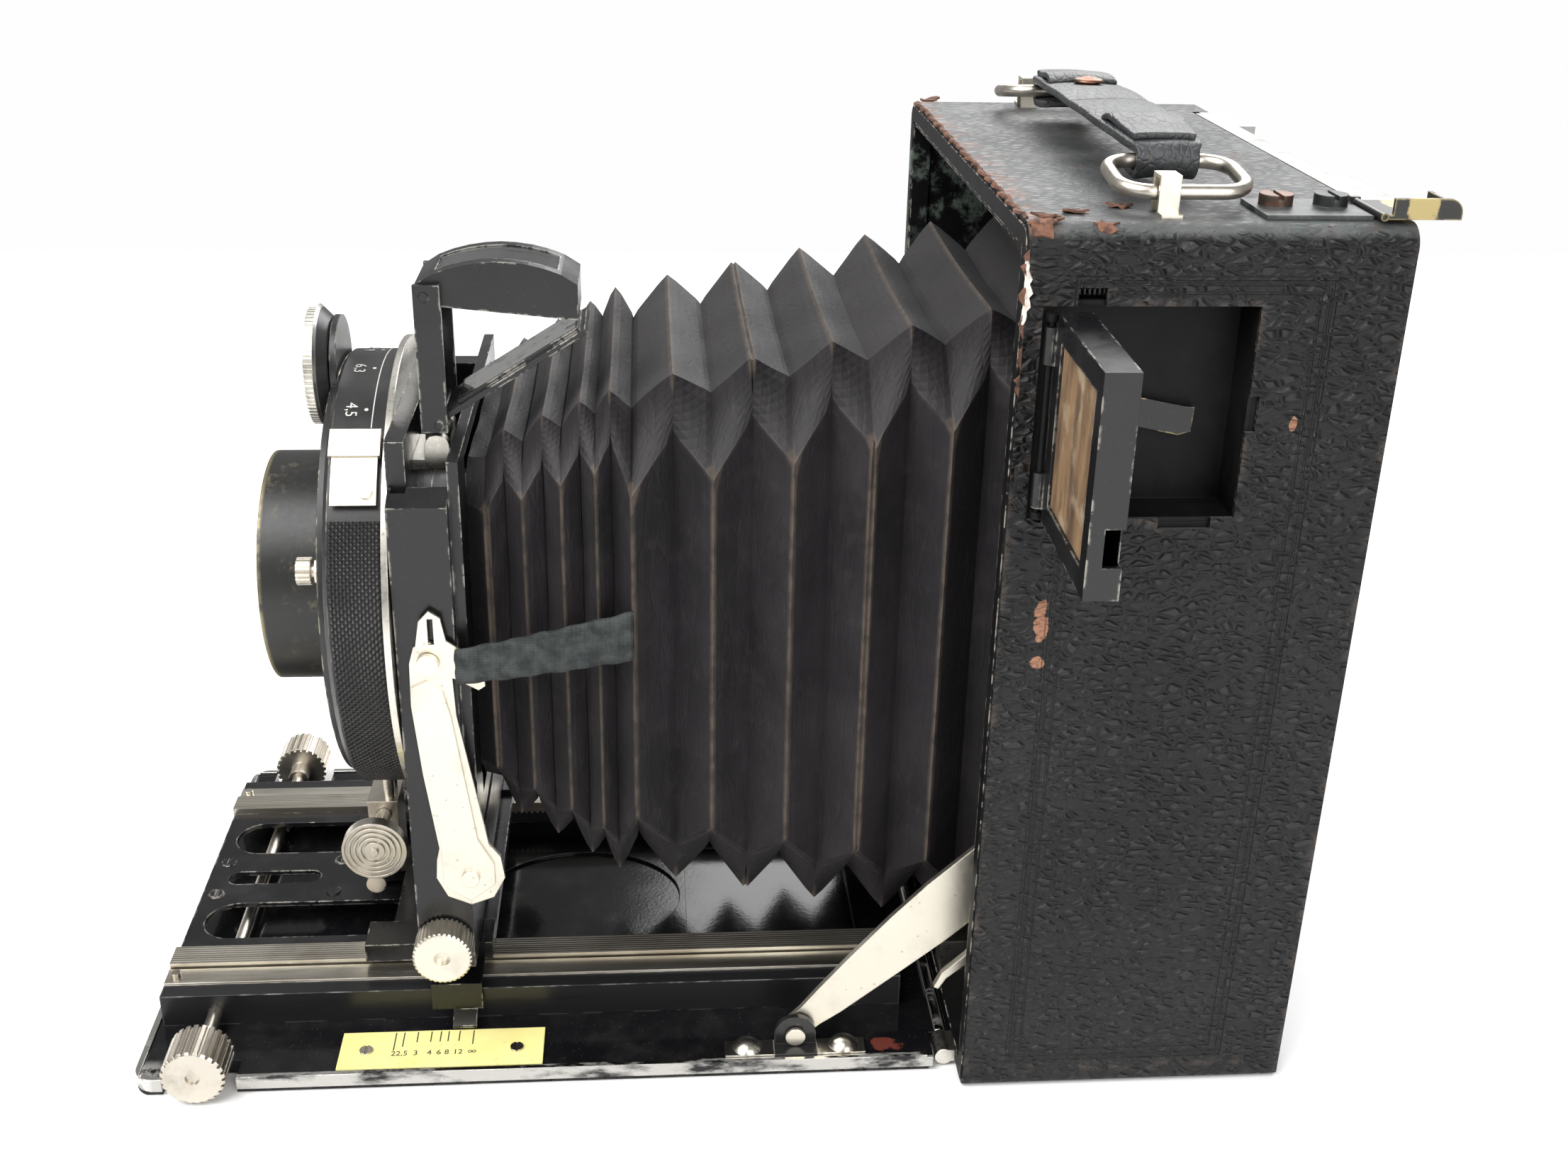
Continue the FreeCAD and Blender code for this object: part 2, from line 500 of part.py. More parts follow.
# ---------------------------------------------------------------- struts
def strut(s):
    """Tapered channel from the bed pivot up into the body, drawn in the YZ plane."""
    a = math.radians(N("strut_a"))
    L = N("strut_len")
    py, pz = N("piv_y"), N("piv_z")
    prof = [(-1.8, -1.9), (0, -2.6), (4, -2.7), (9, -3.6), (20, -4.7), (34, -6.0), (40, -6.2), (44, -5.0), (52, -4.2),
            (L, -3.4), (L + 2.6, -2.2), (L + 3.4, 0), (L + 2.6, 2.2), (L, 3.4), (52, 5.4), (40, 5.8), (30, 5.4), (18, 4.4), (9, 3.4), (4, 2.7), (0, 2.6), (-1.8, 1.9), (-2.6, 0)]
    pts = [(py + u * math.cos(a) - t * math.sin(a), pz + u * math.sin(a) + t * math.cos(a)) for u, t in prof]
    b = padded("YZ_Plane", pts, "strut_t", ("strut_x", 0, 0))
    uy, uz = py + L * math.cos(a), pz + L * math.sin(a)
    pc = cut(b, cyl(1.0, 10, 45, "piv_y", "piv_z", "x"), cyl(1.4, 10, 45, uy, uz, "x"))
    pins = fuse(cyl(1.0, 4.2, 49.4, "piv_y", "piv_z", "x"), cyl(1.9, 0.7, 52.9, "piv_y", "piv_z", "x"))
    p2 = cyl(1.4, 8.4, 49.4, uy, uz, "x")
    return pc, group(pins, p2)


sn, pn = strut(1)
node("strut_near", sn)
node("strut_near_pins", pn)
sf, pf = strut(1)
node("strut_far", mirror_x(sf))
node("strut_far_pins", mirror_x(pf))

# ---------------------------------------------------------------- focusing track
tp = box("-rail_x0", "rail_x0", "rail_front+0.3", "plate_back", "rail_z0", "plate_z1")


def slot(x0, x1, y0, y1):
    r = (x1 - x0) / 2.0
    return fuse(box(x0, x1, y0 + r, y1 - r, 5, 15), cyl(r, 10, (x0 + x1) / 2.0, y0 + r, 5), cyl(r, 10, (x0 + x1) / 2.0, y1 - r, 5))


node("track_plate", cut(tp, slot(9.5, 21.8, -181.4, -134), slot(-21.8, -9.5, -181.4, -134), slot(-2.3, 2.3, -180, -160.5)))
tr = box("rail_x0", "rail_x1", "rail_front", "rail_back", "rail_z0", "rail_z1")
node("track_rails", group(tr, mirror_x(tr)))

# rack teeth under the rails, straight sided at 20 degrees, in mesh with the pinion
PI = math.pi
pr = N("pin_r")
nt = int(N("teeth"))
mod = 2 * pr / nt
pitch = PI * mod
add_r, ded_r = 0.22, 0.42
pz0 = N("pin_z") + pr


def rack_profile(y0, y1):
    """Teeth point down; a tooth space is centred over the pinion's top tooth."""
    ph = math.tan(math.radians(20))
    half = pitch / 4.0 - 0.035
    yc = N("pin_y") + pitch / 2.0
    k0 = int(math.ceil((y0 - yc + half + 0.3) / pitch))
    k1 = int(math.floor((y1 - yc - half - 0.3) / pitch))
    zr, zt = pz0 + ded_r, pz0 - add_r
    pts = [V(0, y0, N("rail_z0")), V(0, y0, zr)]
    for k in range(k0, k1 + 1):
        c = yc + k * pitch
        pts += [V(0, c - half - ded_r * ph, zr), V(0, c - half + add_r * ph, zt), V(0, c + half - add_r * ph, zt), V(0, c + half + ded_r * ph, zr)]
    pts += [V(0, y1, zr), V(0, y1, N("rail_z0"))]
    return pts


rp = rack_profile(-183.5, -112.0)
rk = Part.Face(Part.makePolygon(rp + [rp[0]])).extrude(V(3.5, 0, 0))
rk1 = rk.copy()
rk1.translate(V(27.0, 0, 0))
rk2 = rk.copy()
rk2.translate(V(-30.5, 0, 0))
node("focus_racks", feat(Part.makeCompound([rk1, rk2])))
ts = []
for x in (6.0, -6.0):
    for y in (-181.2, -156.8):
        ts.append(cut(cyl(1.5, 0.35, x, y, "plate_z1"), box(x - 2, x + 2, y - 0.2, y + 0.2, "plate_z1+0.15", 14)))
node("track_screws", group(*ts))


# pinion: involute stub teeth, one tooth straight up
def inv(a):
    return math.tan(a) - a


def pinion_face(cx):
    al = math.radians(20)
    rb = pr * math.cos(al)
    ro, rr = pr + 0.30, 1.50
    th = PI / (2 * nt) - 0.012
    pts = []
    for k in range(nt):
        c = 2 * PI * k / nt + PI / 2
        fl = []
        for i in range(6):
            r = rb + (ro - rb) * i / 5.0
            a = math.acos(min(1.0, rb / r))
            fl.append((r, th + inv(al) - inv(a)))
        left = [(rr, fl[0][1] + 0.02)] + fl
        for r, w in left:
            pts.append((r, c - w))
        for r, w in reversed(left):
            pts.append((r, c + w))
    vs = [V(cx, r * math.cos(t), r * math.sin(t)) for r, t in pts]
    return Part.Face(Part.makePolygon(vs + [vs[0]]))


shaft = Part.makeCylinder(N("shaft_r"), 2 * N("knob_x1") - 1.0, V(-N("knob_x1") + 0.5, 0, 0), V(1, 0, 0))
for cx in (27.2, -30.2):
    shaft = shaft.fuse(pinion_face(cx).extrude(V(3.0, 0, 0)))
po = feat(shaft)
po.Placement = FreeCAD.Placement(V(0, N("pin_y"), N("pin_z")), FreeCAD.Rotation())
node("pinion_shaft", po)


def knurled(r, depth, n, x0, x1, bore, hub_r=None, hub_x=None):
    """Knob with straight grooves round its rim, along X, drawn about the X axis."""
    vs = []
    for k in range(n):
        a = 2 * PI * k / n
        for f, rr in ((0.0, r), (0.52, r), (0.62, r - depth), (0.90, r - depth)):
            t = a + 2 * PI * f / n
            vs.append(V(x0, rr * math.cos(t), rr * math.sin(t)))
    s = Part.Face(Part.makePolygon(vs + [vs[0]])).extrude(V(x1 - x0, 0, 0))
    s = s.common(Part.makeCone(r - 0.5, r + (x1 - x0) * 0.6 - 0.5 + 6, (x1 - x0), V(x1, 0, 0), V(-1, 0, 0)))
    if hub_r:
        s = s.fuse(Part.makeCylinder(hub_r, x0 - hub_x + 0.2, V(hub_x, 0, 0), V(1, 0, 0)))
    if bore:
        s = s.cut(Part.makeCylinder(bore, 200, V(-100, 0, 0), V(1, 0, 0)))
    return s


kn = knurled(N("knob_r"), 0.55, 24, N("knob_x0"), N("knob_x1"), N("shaft_r"), 2.3, 47.6)
o = feat(kn)
o.Placement = FreeCAD.Placement(V(0, N("pin_y"), N("pin_z")), FreeCAD.Rotation())
node("focus_knob_near", o)
o = feat(kn.mirror(V(0, 0, 0), V(1, 0, 0)))
o.Placement = FreeCAD.Placement(V(0, N("pin_y"), N("pin_z")), FreeCAD.Rotation())
node("focus_knob_far", o)

# ---------------------------------------------------------------- standard
sb = fuse(box(-33.2, 33.2, -141.5, "shoe_back", "shoe_z0", 14.2),
          box(25.2, 33.2, "shoe_front", "shoe_back", "shoe_z0", "shoe_z1"),
          box(-33.2, -25.2, "shoe_front", "shoe_back", "shoe_z0", "shoe_z1"),
          box(-5, 5, -149.0, -141.5, "shoe_z0", 14.2),
          box(-6, 6, "post_y0+1.9", "post_y1-1.9", 14.2, 25.0))
node("standard_base", cut(sb, cyl("shift_r+0.05", 40, -20, "shift_y", "shift_z", "x")))
node("grip_bracket", cut(box(-4.5, 4.5, -148.4, -142.2, 14.2, 31.0), cyl(1.58, 20, -10, -145.2, 28, "x")))
node("grip_stop_pins", group(cyl(2.0, 13.0, 4.5, -145.6, 19.2, "x"), cyl(2.0, 13.0, -17.5, -145.6, 19.2, "x")))
pc = fuse(box(33.2, 42.2, -132.3, -122.5, 11.75, 12.35), box(41.6, 42.2, -132.3, -122.5, 6.4, 12.35))
tip = padded("XZ_Plane", [(41.6, 6.4), (42.2, 6.4), (45.2, 4.6), (45.2, 4.1), (44.7, 4.1), (41.6, 5.8)], 4.6, (0, -123.6, 0))
node("distance_pointer", fuse(pc, tip))
node("rise_stop_rods", group(cyl(1.1, 5.2, -2.4, -142.9 - 1.2, 31.0, "z"), cyl(1.1, 5.2, 2.4, -142.9 - 1.2, 31.0, "z")))

# squeeze grips: ringed discs on stems, one each side
def grip():
    d = cyl(6.5, 2.6, 16.2, -145.2, 28.0, "x")
    rings = [cut(cyl(r, 0.6, 18.4, -145.2, 28.0, "x"), cyl(r - 0.45, 2, 18.0, -145.2, 28.0, "x")) for r in (6.0, 4.9, 3.8, 2.7, 1.6)]
    gr = [cut(cyl(r, 1.0, 18.3, -145.2, 28.0, "x"), cyl(r - 0.5, 2, 18.0, -145.2, 28.0, "x")) for r in (5.9, 4.8, 3.7, 2.6)]
    return fuse(cut(d, *gr), cyl(1.5, 13.4, 3.0, -145.2, 28.0, "x"), cyl(0.9, 0.7, 18.8, -145.2, 28.0, "x"))


node("grip_near", grip())
node("grip_far", mirror_x(grip()))

# U frame that shifts sideways on the base
uf = fuse(box("post_x0", "post_x1", "post_y0", "post_y1", "frame_z0", "post_top"),
          box("-post_x1", "-post_x0", "post_y0", "post_y1", "frame_z0", "post_top"),
          box("-post_x1", "post_x1", "post_y0", "post_y1", "frame_z0", 29.5))
chan = box(-35.6, 35.6, "post_y0+1.4", "post_y1-1.4", 10, 25.6)
bev = [padded("XZ_Plane", [(33, 117), (33, 113.6), (36.6, 113.6), (42.0, 111.6), (44, 111.2), (44, 117)], 30, (0, -115, 0))]
grooves = [box("post_x0-1", "post_x0+1.6", -133.4, -130.8, 31.5, 200), box("-post_x0-1.6", "-post_x0+1", -133.4, -130.8, 31.5, 200)]
node("shift_frame", cut(uf, chan, cyl("shift_r+0.05", 100, -50, "shift_y", "shift_z", "x"), *(grooves + bev)))
node("bellows_front_frame", cut(box(-39.5, 39.5, "post_y1", "post_y1+2.0", 43.0, 119.0), box(-29.4, 29.4, -140, -110, 47.7, 116.3)))

# side braces: nickel blades from an upper screw to a riveted round end
def brace():
    outl = [(-131.6, 82.5), (-131.8, 74), (-130.6, 60), (-128.6, 44), (-129.2, 41.5), (-129.5, 37.5), (-127.6, 33.4), (-123.3, 31.4),
            (-119.0, 33.0), (-116.8, 37.2), (-117.4, 41.8), (-119.5, 44.8), (-121.6, 58), (-123.9, 72), (-124.3, 82.5), (-125.5, 85.8), (-128.2, 86.8), (-130.7, 85.7)]
    b1 = padded("YZ_Plane", outl, 0.8, (42.3, 0, 0))
    out2 = [(-131.4, 78), (-131.0, 66), (-128.2, 46), (-128.2, 36), (-123.3, 32.6), (-118.6, 36.2), (-118.6, 40.6), (-121.4, 46), (-124.8, 72), (-126.0, 77.4), (-128.6, 79.2)]
    b2 = padded("YZ_Plane", out2, 0.6, (43.1, 0, 0))
    return group(b1, b2)


node("side_brace_near", brace())
node("side_brace_far", mirror_x(brace()))
rv = [cyl(1.7, 1.0, 43.7, -123.1, 37.9, "x"), cyl(1.9, 1.9, 42.6, -128.9, 37.0, "x"), cyl(2.0, 1.2, 43.9, -128.2, 83.0, "x")]
rv2 = [cyl(1.7, 1.0, 43.7, -123.1, 37.9, "x"), cyl(2.0, 1.2, 43.9, -128.2, 83.0, "x")]
node("brace_rivets", group(rv[0], rv[2], *[mirror_x(r) for r in rv2]))
sp_pts = [(-129.6, 80.2), (-130.6, 84), (-129.4, 91), (-127.6, 93.0), (-125.6, 91.6), (-124.8, 87.2), (-118.6, 82.6), (-118.4, 78.2), (-119.6, 77.4), (-123.8, 79.8)]
slp = cut(padded("YZ_Plane", sp_pts, 0.6, (43.1, 0, 0)), box(40, 46, -127.9, -126.9, 86.5, 91.5), cyl(1.5, 10, 40, -128.2, 83.0, "x"))
node("strap_plate", cut(slp, box(40, 46, -131.7, -124.2, 60, 79.4)))

# cross-shift spindle and its knob
sk = knurled(N("shift_knob_r"), 0.35, 36, 42.6, 48.0, N("shift_r"))
o = feat(sk)
o.Placement = FreeCAD.Placement(V(0, N("shift_y"), N("shift_z")), FreeCAD.Rotation())
node("shift_knob", o)
node("shift_spindle", cyl("shift_r", 86.5, -39.5, "shift_y", "shift_z", "x"))

# ---------------------------------------------------------------- lens panel
lb = fuse(box(-36.2, 36.2, -134.2, -130.8, 38.6, 121.5), box(-37.8, 37.8, -133.1, -131.1, 38.6, 111.0))
node("lens_board", cut(lb, cyl(20.0, 30, 0, -150, "axis_z", "y")))
node("shutter_flange", turned([(20.0, 0), (45.0, 0), (45.0, 1.2), (20.0, 1.2)], (0, -135.4, "axis_z")))
drum = turned([(20.0, 0), (20.0, 1.0), (40.2, 1.0), (40.2, 9.4), (20.0, 9.4), (20.0, 10.6), (42.3, 10.6), (42.3, 0.8), (41.5, 0)],
              (0, "drum_y0", "axis_z"))
node("shutter_drum", drum)
fp = fuse(cyl(40.6, 1.2, 0, -147.2, "axis_z", "y"), cyl(9.4, 1.2, 0, -147.2, "dial_z", "y"))
node("shutter_front_plate", cut(fp, cyl(20.0, 30, 0, -160, "axis_z", "y")))


def wedge(a0, a1, r, y0, y1):
    """Pie slice about the lens axis; angles from +X towards +Z."""
    n = 12
    vs = [V(0, y0, N("axis_z"))]
    for i in range(n + 1):
        t = math.radians(a0 + (a1 - a0) * i / n)
        vs.append(V(r * math.cos(t), y0, N("axis_z") + r * math.sin(t)))
    return Part.Face(Part.makePolygon(vs + [vs[0]])).extrude(V(0, y1 - y0, 0))


band = turned([(42.34, 0), (43.0, 0.3), (43.0, 9.1), (42.34, 9.4)], (0, -145.0, "axis_z"))
node("grip_band", cut(band, feat(wedge(33, 150, 70, -150, -130))))


def arc_piece(a0, a1, r0, r1, y0, y1):
    s = wedge(a0, a1, 90, y0, y1)
    c = Part.makeCylinder(r1, y1 - y0, V(0, y0, N("axis_z")), V(0, 1, 0)).cut(
        Part.makeCylinder(r0, y1 - y0 + 2, V(0, y0 - 1, N("axis_z")), V(0, 1, 0)))
    return s.common(c)


node("aperture_index", feat(arc_piece(48.3, 55.5, 43.35, 44.6, -145.0, -136.0)))
node("index_plate", feat(arc_piece(36.5, 48.3, 43.35, 44.0, -144.4, -136.4)))
iy = cyl(1.3, 1.0, 33.4, -138.4, 108.0, "z")
ia = math.radians(39.5)
o = doc.addObject("Part::Cylinder", nm("scr"))
o.Radius = 1.25
o.Height = 0.8
o.Placement = FreeCAD.Placement(V(44.0 * math.cos(ia), -138.3, N("axis_z") + 44.0 * math.sin(ia)), FreeCAD.Rotation(V(0, 1, 0), 90 - 39.5))
node("index_screw", o)
doc.removeObject(iy.Name)

hood = turned([(21.3, 0.0), (22.5, 0.0), (22.5, 14.3), (19.95, 14.3), (19.95, 12.6), (21.3, 12.6)], (0, "hood_front", "axis_z"))
node("lens_hood", hood)
cell = turned([(16.6, 0), (19.4, 0), (19.4, 6.2), (19.9, 6.2), (19.9, 12.0), (17.2, 12.0), (17.2, 1.2), (16.6, 1.2)], (0, -155.4, "axis_z"))
node("front_lens_cell", cell)
node("front_lens", turned([(0, 0), (8, 0.5), (13, 1.4), (17.1, 3.0), (17.1, 6.5), (0, 4.6)], (0, -153.6, "axis_z")))
rc = turned([(15.0, 0), (19.9, 0), (19.9, 6.4), (18.6, 6.4), (18.6, 18.0), (17.2, 18.0), (17.2, 3.0), (15.0, 3.0)], (0, -137.2, "axis_z"))
node("rear_lens_cell", rc)
node("rear_lens", turned([(0, 0), (17.1, 0), (17.1, 2.4), (12, 4.2), (6, 5.2), (0, 5.5)], (0, -125.6, "axis_z")))

# shutter and diaphragm leaves, thin stacks inside the drum
bl = []
for k in range(3):
    t = Part.makeCylinder(30.0, 0.25, V(0, -143.2 + 0.45 * k, 0), V(0, 1, 0))
    s = t.common(Part.makeBox(80, 10, 80, V(-40, -150, -2)))
    s.rotate(V(0, 0, 0), V(0, 1, 0), 120 * k)
    s.translate(V(0, 0, N("axis_z")))
    bl.append(s)
node("shutter_blades", feat(Part.makeCompound(bl)))
ab = []
for k in range(5):
    t = Part.makeCylinder(34.0, 0.2, V(0, -140.4 + 0.35 * k, 0), V(0, 1, 0)).cut(
        Part.makeCylinder(15.5, 4, V(0, -142, 0), V(0, 1, 0)))
    s = t.common(Part.makeBox(80, 10, 34, V(0, -145, -17)))
    s.rotate(V(0, 0, 0), V(0, 1, 0), 72 * k)
    s.translate(V(0, 0, N("axis_z")))
    ab.append(s)
node("diaphragm_leaves", feat(Part.makeCompound(ab)))


def knurl_y(r, depth, n, length, bore):
    vs = []
    for k in range(n):
        for f, rr in ((0.0, r), (0.45, r), (0.6, r - depth), (0.85, r - depth)):
            t = 2 * PI * (k + f) / n
            vs.append(V(rr * math.cos(t), 0, rr * math.sin(t)))
    s = Part.Face(Part.makePolygon(vs + [vs[0]])).extrude(V(0, length, 0))
    if bore:
        s = s.cut(Part.makeCylinder(bore, 3 * length, V(0, -length, 0), V(0, 1, 0)))
    return s


dl = knurl_y(N("dial_r"), 0.3, 72, 1.6, 1.05)
dl = dl.fuse(Part.makeCone(11.4, 9.0, 2.4, V(0, 1.6, 0), V(0, 1, 0)))
dl = dl.cut(Part.makeCylinder(1.05, 20, V(0, -8, 0), V(0, 1, 0)))
o = feat(dl)
o.Placement = FreeCAD.Placement(V(0, -151.6, N("dial_z")), FreeCAD.Rotation())
node("speed_dial", o)
node("dial_stud", fuse(cyl(1.0, 6.2, 0, -153.4, "dial_z", "y"), cyl(2.2, 1.0, 0, -153.4, "dial_z", "y")))
ck = Part.makeCylinder(26.2, 0.9, V(0, 0, 0), V(0, 1, 0))
arm = Part.Face(Part.makePolygon([V(22, 0, -3.2), V(35.2, 0, -2.0), V(36.4, 0, 0), V(35.2, 0, 2.0), V(22, 0, 3.2), V(22, 0, -3.2)])).extrude(V(0, 0.9, 0))
ck = ck.fuse(arm).cut(Part.makeCylinder(22.9, 4, V(0, -1, 0), V(0, 1, 0)))
kb = knurl_y(2.5, 0.3, 16, 2.6, 0).fuse(Part.makeCylinder(1.3, 1.2, V(0, 2.4, 0), V(0, 1, 0)))
kb.translate(V(33.2, -3.4, 0))
o = feat(ck.fuse(kb))
o.Placement = FreeCAD.Placement(V(0, -148.5, N("axis_z")), FreeCAD.Rotation(V(0, 1, 0), -21.0))
node("cocking_lever", o)

# cocking and release levers on the front plate
def lever(x, z, ang, length, w, y, tip_r):
    p = [(-w, 0), (-w * 0.7, length), (w * 0.7, length), (w, 0), (w * 0.7, -w * 0.8), (-w * 0.7, -w * 0.8)]
    b = Part.Face(Part.makePolygon([V(a, 0, c) for a, c in p] + [V(p[0][0], 0, p[0][1])])).extrude(V(0, 0.9, 0))
    b = b.fuse(Part.makeCylinder(tip_r, 2.6, V(0, -1.7, length), V(0, 1, 0)))
    b = b.cut(Part.makeCylinder(1.03, 20, V(0, -10, 0), V(0, 1, 0)))
    o = feat(b)
    o.Placement = FreeCAD.Placement(V(x, y, z), FreeCAD.Rotation(V(0, 1, 0), ang))
    return o


node("release_lever", lever(-34.0, 86.0, -80.0, 12.0, 2.0, -148.6, 1.6))
node("lever_studs", cyl(1.0, 2.0, -34, -149.2, 86, "y"))
cs = cut(cyl(2.6, 7.0, -36, -147.2 + 4.2, 47.0, "-x"), cyl(1.6, 9, -37.5, -147.2 + 4.2, 47.0, "-x"))
node("cable_socket", cs)

# ---------------------------------------------------------------- finder
hb = fuse(box(14.2, 27.8, -130.8, -124.0, 113.4, 115.4), box(14.2, 16.3, -128.4, -124.0, 115.4, "find_hz"), box(25.7, 27.8, -128.4, -124.0, 115.4, "find_hz"),
          cyl(2.2, 2.1, 14.2, "find_hy", "find_hz", "x"), cyl(2.2, 2.1, 25.7, "find_hy", "find_hz", "x"), cyl(0.9, 13.6, 14.2, "find_hy", "find_hz", "x"))
node("finder_bracket", hb)
fpx0, fpx1 = "find_x0", "find_x1"
fr = cut(fuse(box(fpx0, fpx1, "find_y0", "find_y0+1.2", 121.0, 143.0),
              box(fpx0, "find_x0+1.2", "find_y0", "find_y0+4.6", 121.0, 147.2),
              box("find_x1-1.2", fpx1, "find_y0", "find_y0+4.6", 121.0, 147.2),
              box("find_x0+4.7", "find_x1-4.7", "find_y0", "find_y0+2.6", 117.0, 121.0),
              cyl(1.7, 8.6, 16.7, "find_hy", "find_hz", "x")),
         cyl(0.94, 40, 0, "find_hy", "find_hz", "x"), cyl(6.2, 10, 21, "find_y0-2", 131.5, "y"), cyl(0.85, 40, 0, -126.6, 145.2, "x"), cyl(0.85, 40, 0, -125.2, 122.4, "x"))
node("finder_front", fr)
node("finder_lens", turned([(0, 0.0), (3.5, 0.25), (6.15, 0.9), (6.15, 2.0), (3.5, 2.5), (0, 2.7)], (21, -128.9, 131.5)))


def hood_shape():
    x0, x1 = N("find_x0") + 1.4, N("find_x1") - 1.4
    y0, y1 = -128.2, N("find_y1")
    n = 10
    up, dn = [], []
    for i in range(n + 1):
        f = i / n
        y = y0 + (y1 - y0) * f
        z = 147.0 + 4.0 * math.sin(PI * f) ** 0.7
        up.append(V(x0, y, z))
    prof = [V(x0, y0, 143.6)] + up + [V(x0, y1, 140.8)]
    out = Part.Face(Part.makePolygon(prof + [prof[0]])).extrude(V(x1 - x0, 0, 0))
    ip = [V(x0 + 0.9, y0 + 0.9, 120)] + [V(x0 + 0.9, min(max(p.y, y0 + 0.9), y1 - 0.9), p.z - 0.9) for p in up] + [V(x0 + 0.9, y1 - 0.9, 120)]
    inn = Part.Face(Part.makePolygon(ip + [ip[0]])).extrude(V(x1 - x0 - 1.8, 0, 0))
    s = out.cut(inn)
    s = s.cut(Part.makeBox(x1 - x0 - 5.0, y1 - y0 - 7.0, 30, V(x0 + 2.5, y0 + 3.5, 146)))
    s = s.cut(Part.makeCylinder(0.83, 60, V(0, -126.6, 145.2), V(1, 0, 0)))
    return s


node("finder_hood", feat(hood_shape()))


def window():
    x0, x1 = N("find_x0") + 1.4 + 2.55, N("find_x1") - 1.4 - 2.55
    y0, y1 = -128.2 + 3.55, N("find_y1") - 3.55
    a, b = [], []
    for i in range(11):
        y = y0 + (y1 - y0) * i / 10.0
        f = (y - (-128.2)) / (N("find_y1") + 128.2)
        z = 147.0 + 4.0 * math.sin(PI * f) ** 0.7
        a.append(V(x0, y, z - 0.25))
        b.append(V(x0, y, z - 1.9))
    p = a + list(reversed(b))
    return Part.Face(Part.makePolygon(p + [p[0]])).extrude(V(x1 - x0, 0, 0))


node("finder_window", feat(window()))
node("finder_pins", group(cyl(0.8, 18.4, 11.8, -126.6, 145.2, "x"), cyl(0.8, 18.4, 11.8, -125.2, 122.4, "x")))
ma = math.degrees(math.atan2(137.0 - 121.4, 25.0))
mb = Part.makeBox(14.6, 29.0, 1.0, V(13.7, 1.6, -0.2)).fuse(Part.makeCylinder(1.5, 14.6, V(13.7, 0, 0), V(1, 0, 0)))
mb = mb.fuse(Part.makeBox(14.6, 2.2, 1.0, V(13.7, 0, -0.2)))
mb = mb.cut(Part.makeCylinder(0.84, 40, V(0, 0, 0), V(1, 0, 0)))
o = feat(mb)
o.Placement = FreeCAD.Placement(V(0, -125.2, 122.4), FreeCAD.Rotation(V(1, 0, 0), ma))
node("finder_mirror_plate", o)
o = feat(Part.makeBox(12.6, 25.0, 0.7, V(14.7, 4.5, 0.8)))
o.Placement = FreeCAD.Placement(V(0, -125.2, 122.4), FreeCAD.Rotation(V(1, 0, 0), ma))
node("finder_mirror", o)

# ---------------------------------------------------------------- bellows
def section(y, w, hh, c):
    zc = N("bellows_z")
    p = [(-w + c, zc - hh), (w - c, zc - hh), (w, zc - hh + c), (w, zc + hh - c), (w - c, zc + hh), (-w + c, zc + hh), (-w, zc + hh - c), (-w, zc - hh + c)]
    vs = [V(a, y, b) for a, b in p]
    return Part.makePolygon(vs + [vs[0]])


prof = [(-121.4, 30.5, 35.6), (-115, 34, 38.4), (-111, 29.5, 34.6), (-107, 35, 41), (-103.8, 31.5, 37.5), (-100.5, 37, 43.6), (-97.6, 33.5, 40.5),
        (-95.0, 40, 46.8), (-93.0, 36.5, 43.5), (-91.0, 42.5, 49.3), (-84.5, 36.2, 44.6), (-78, 42.5, 52.0), (-71, 36.2, 47.2), (-64, 42.5, 54.9), (-57, 36.2, 50.2),
        (-50, 42.5, 57.8), (-43, 36.2, 53.0), (-36, 42.5, 60.7), (-29, 36.2, 55), (-22, 42.5, 61.5), (-15.5, 36.2, 55.5), (-9, 42.5, 61.5), (-2.5, 36.2, 55.5),
        (4, 42.5, 61.5), (10, 37.5, 57.0), (15.3, 42.0, 61.0)]
wo = [section(y, w, hh, 6.0) for y, w, hh in prof]
wi = [section(y, w - 0.9, hh - 0.9, 5.6) for y, w, hh in prof]
wi[0] = section(prof[0][0] - 0.5, prof[0][1] - 0.9, prof[0][2] - 0.9, 5.6)
wi[-1] = section(prof[-1][0] + 0.5, prof[-1][1] - 0.9, prof[-1][2] - 0.9, 5.6)
node("bellows", feat(Part.makeLoft(wo, True, True).cut(Part.makeLoft(wi, True, True))))
# cloth strap from the standard to the bellows' first large fold
node("bellows_strap", feat(Part.makeLoft([Part.makePolygon([V(44.0, -123.7, 79.5), V(44.8, -123.7, 79.5), V(44.8, -123.7, 86.0), V(44.0, -123.7, 86.0), V(44.0, -123.7, 79.5)]),
                                          Part.makePolygon([V(43.0, -92.4, 83.2), V(43.8, -92.4, 83.2), V(43.8, -92.4, 92.6), V(43.0, -92.4, 92.6), V(43.0, -92.4, 83.2)])], True, True)))

# bed release lever beside the near strut
rl_pts = [(-24.0, 33.0), (-26.4, 30.0), (-30.5, 24.5), (-34.6, 20.6), (-35.9, 17.6), (-35.0, 17.2), (-33.6, 19.6), (-29.4, 23.2), (-25.0, 28.2), (-21.6, 31.6)]
node("bed_release_lever", cut(fuse(padded("YZ_Plane", rl_pts, 1.4, (53.0, 0, 0)), cyl(2.4, 1.4, 53.0, -22.6, 32.6, "x")), cyl(1.04, 10, 50, -22.6, 32.6, "x")))
node("release_stud", cyl(1.0, 5.6, 52.6, -22.6, 32.6, "x"))

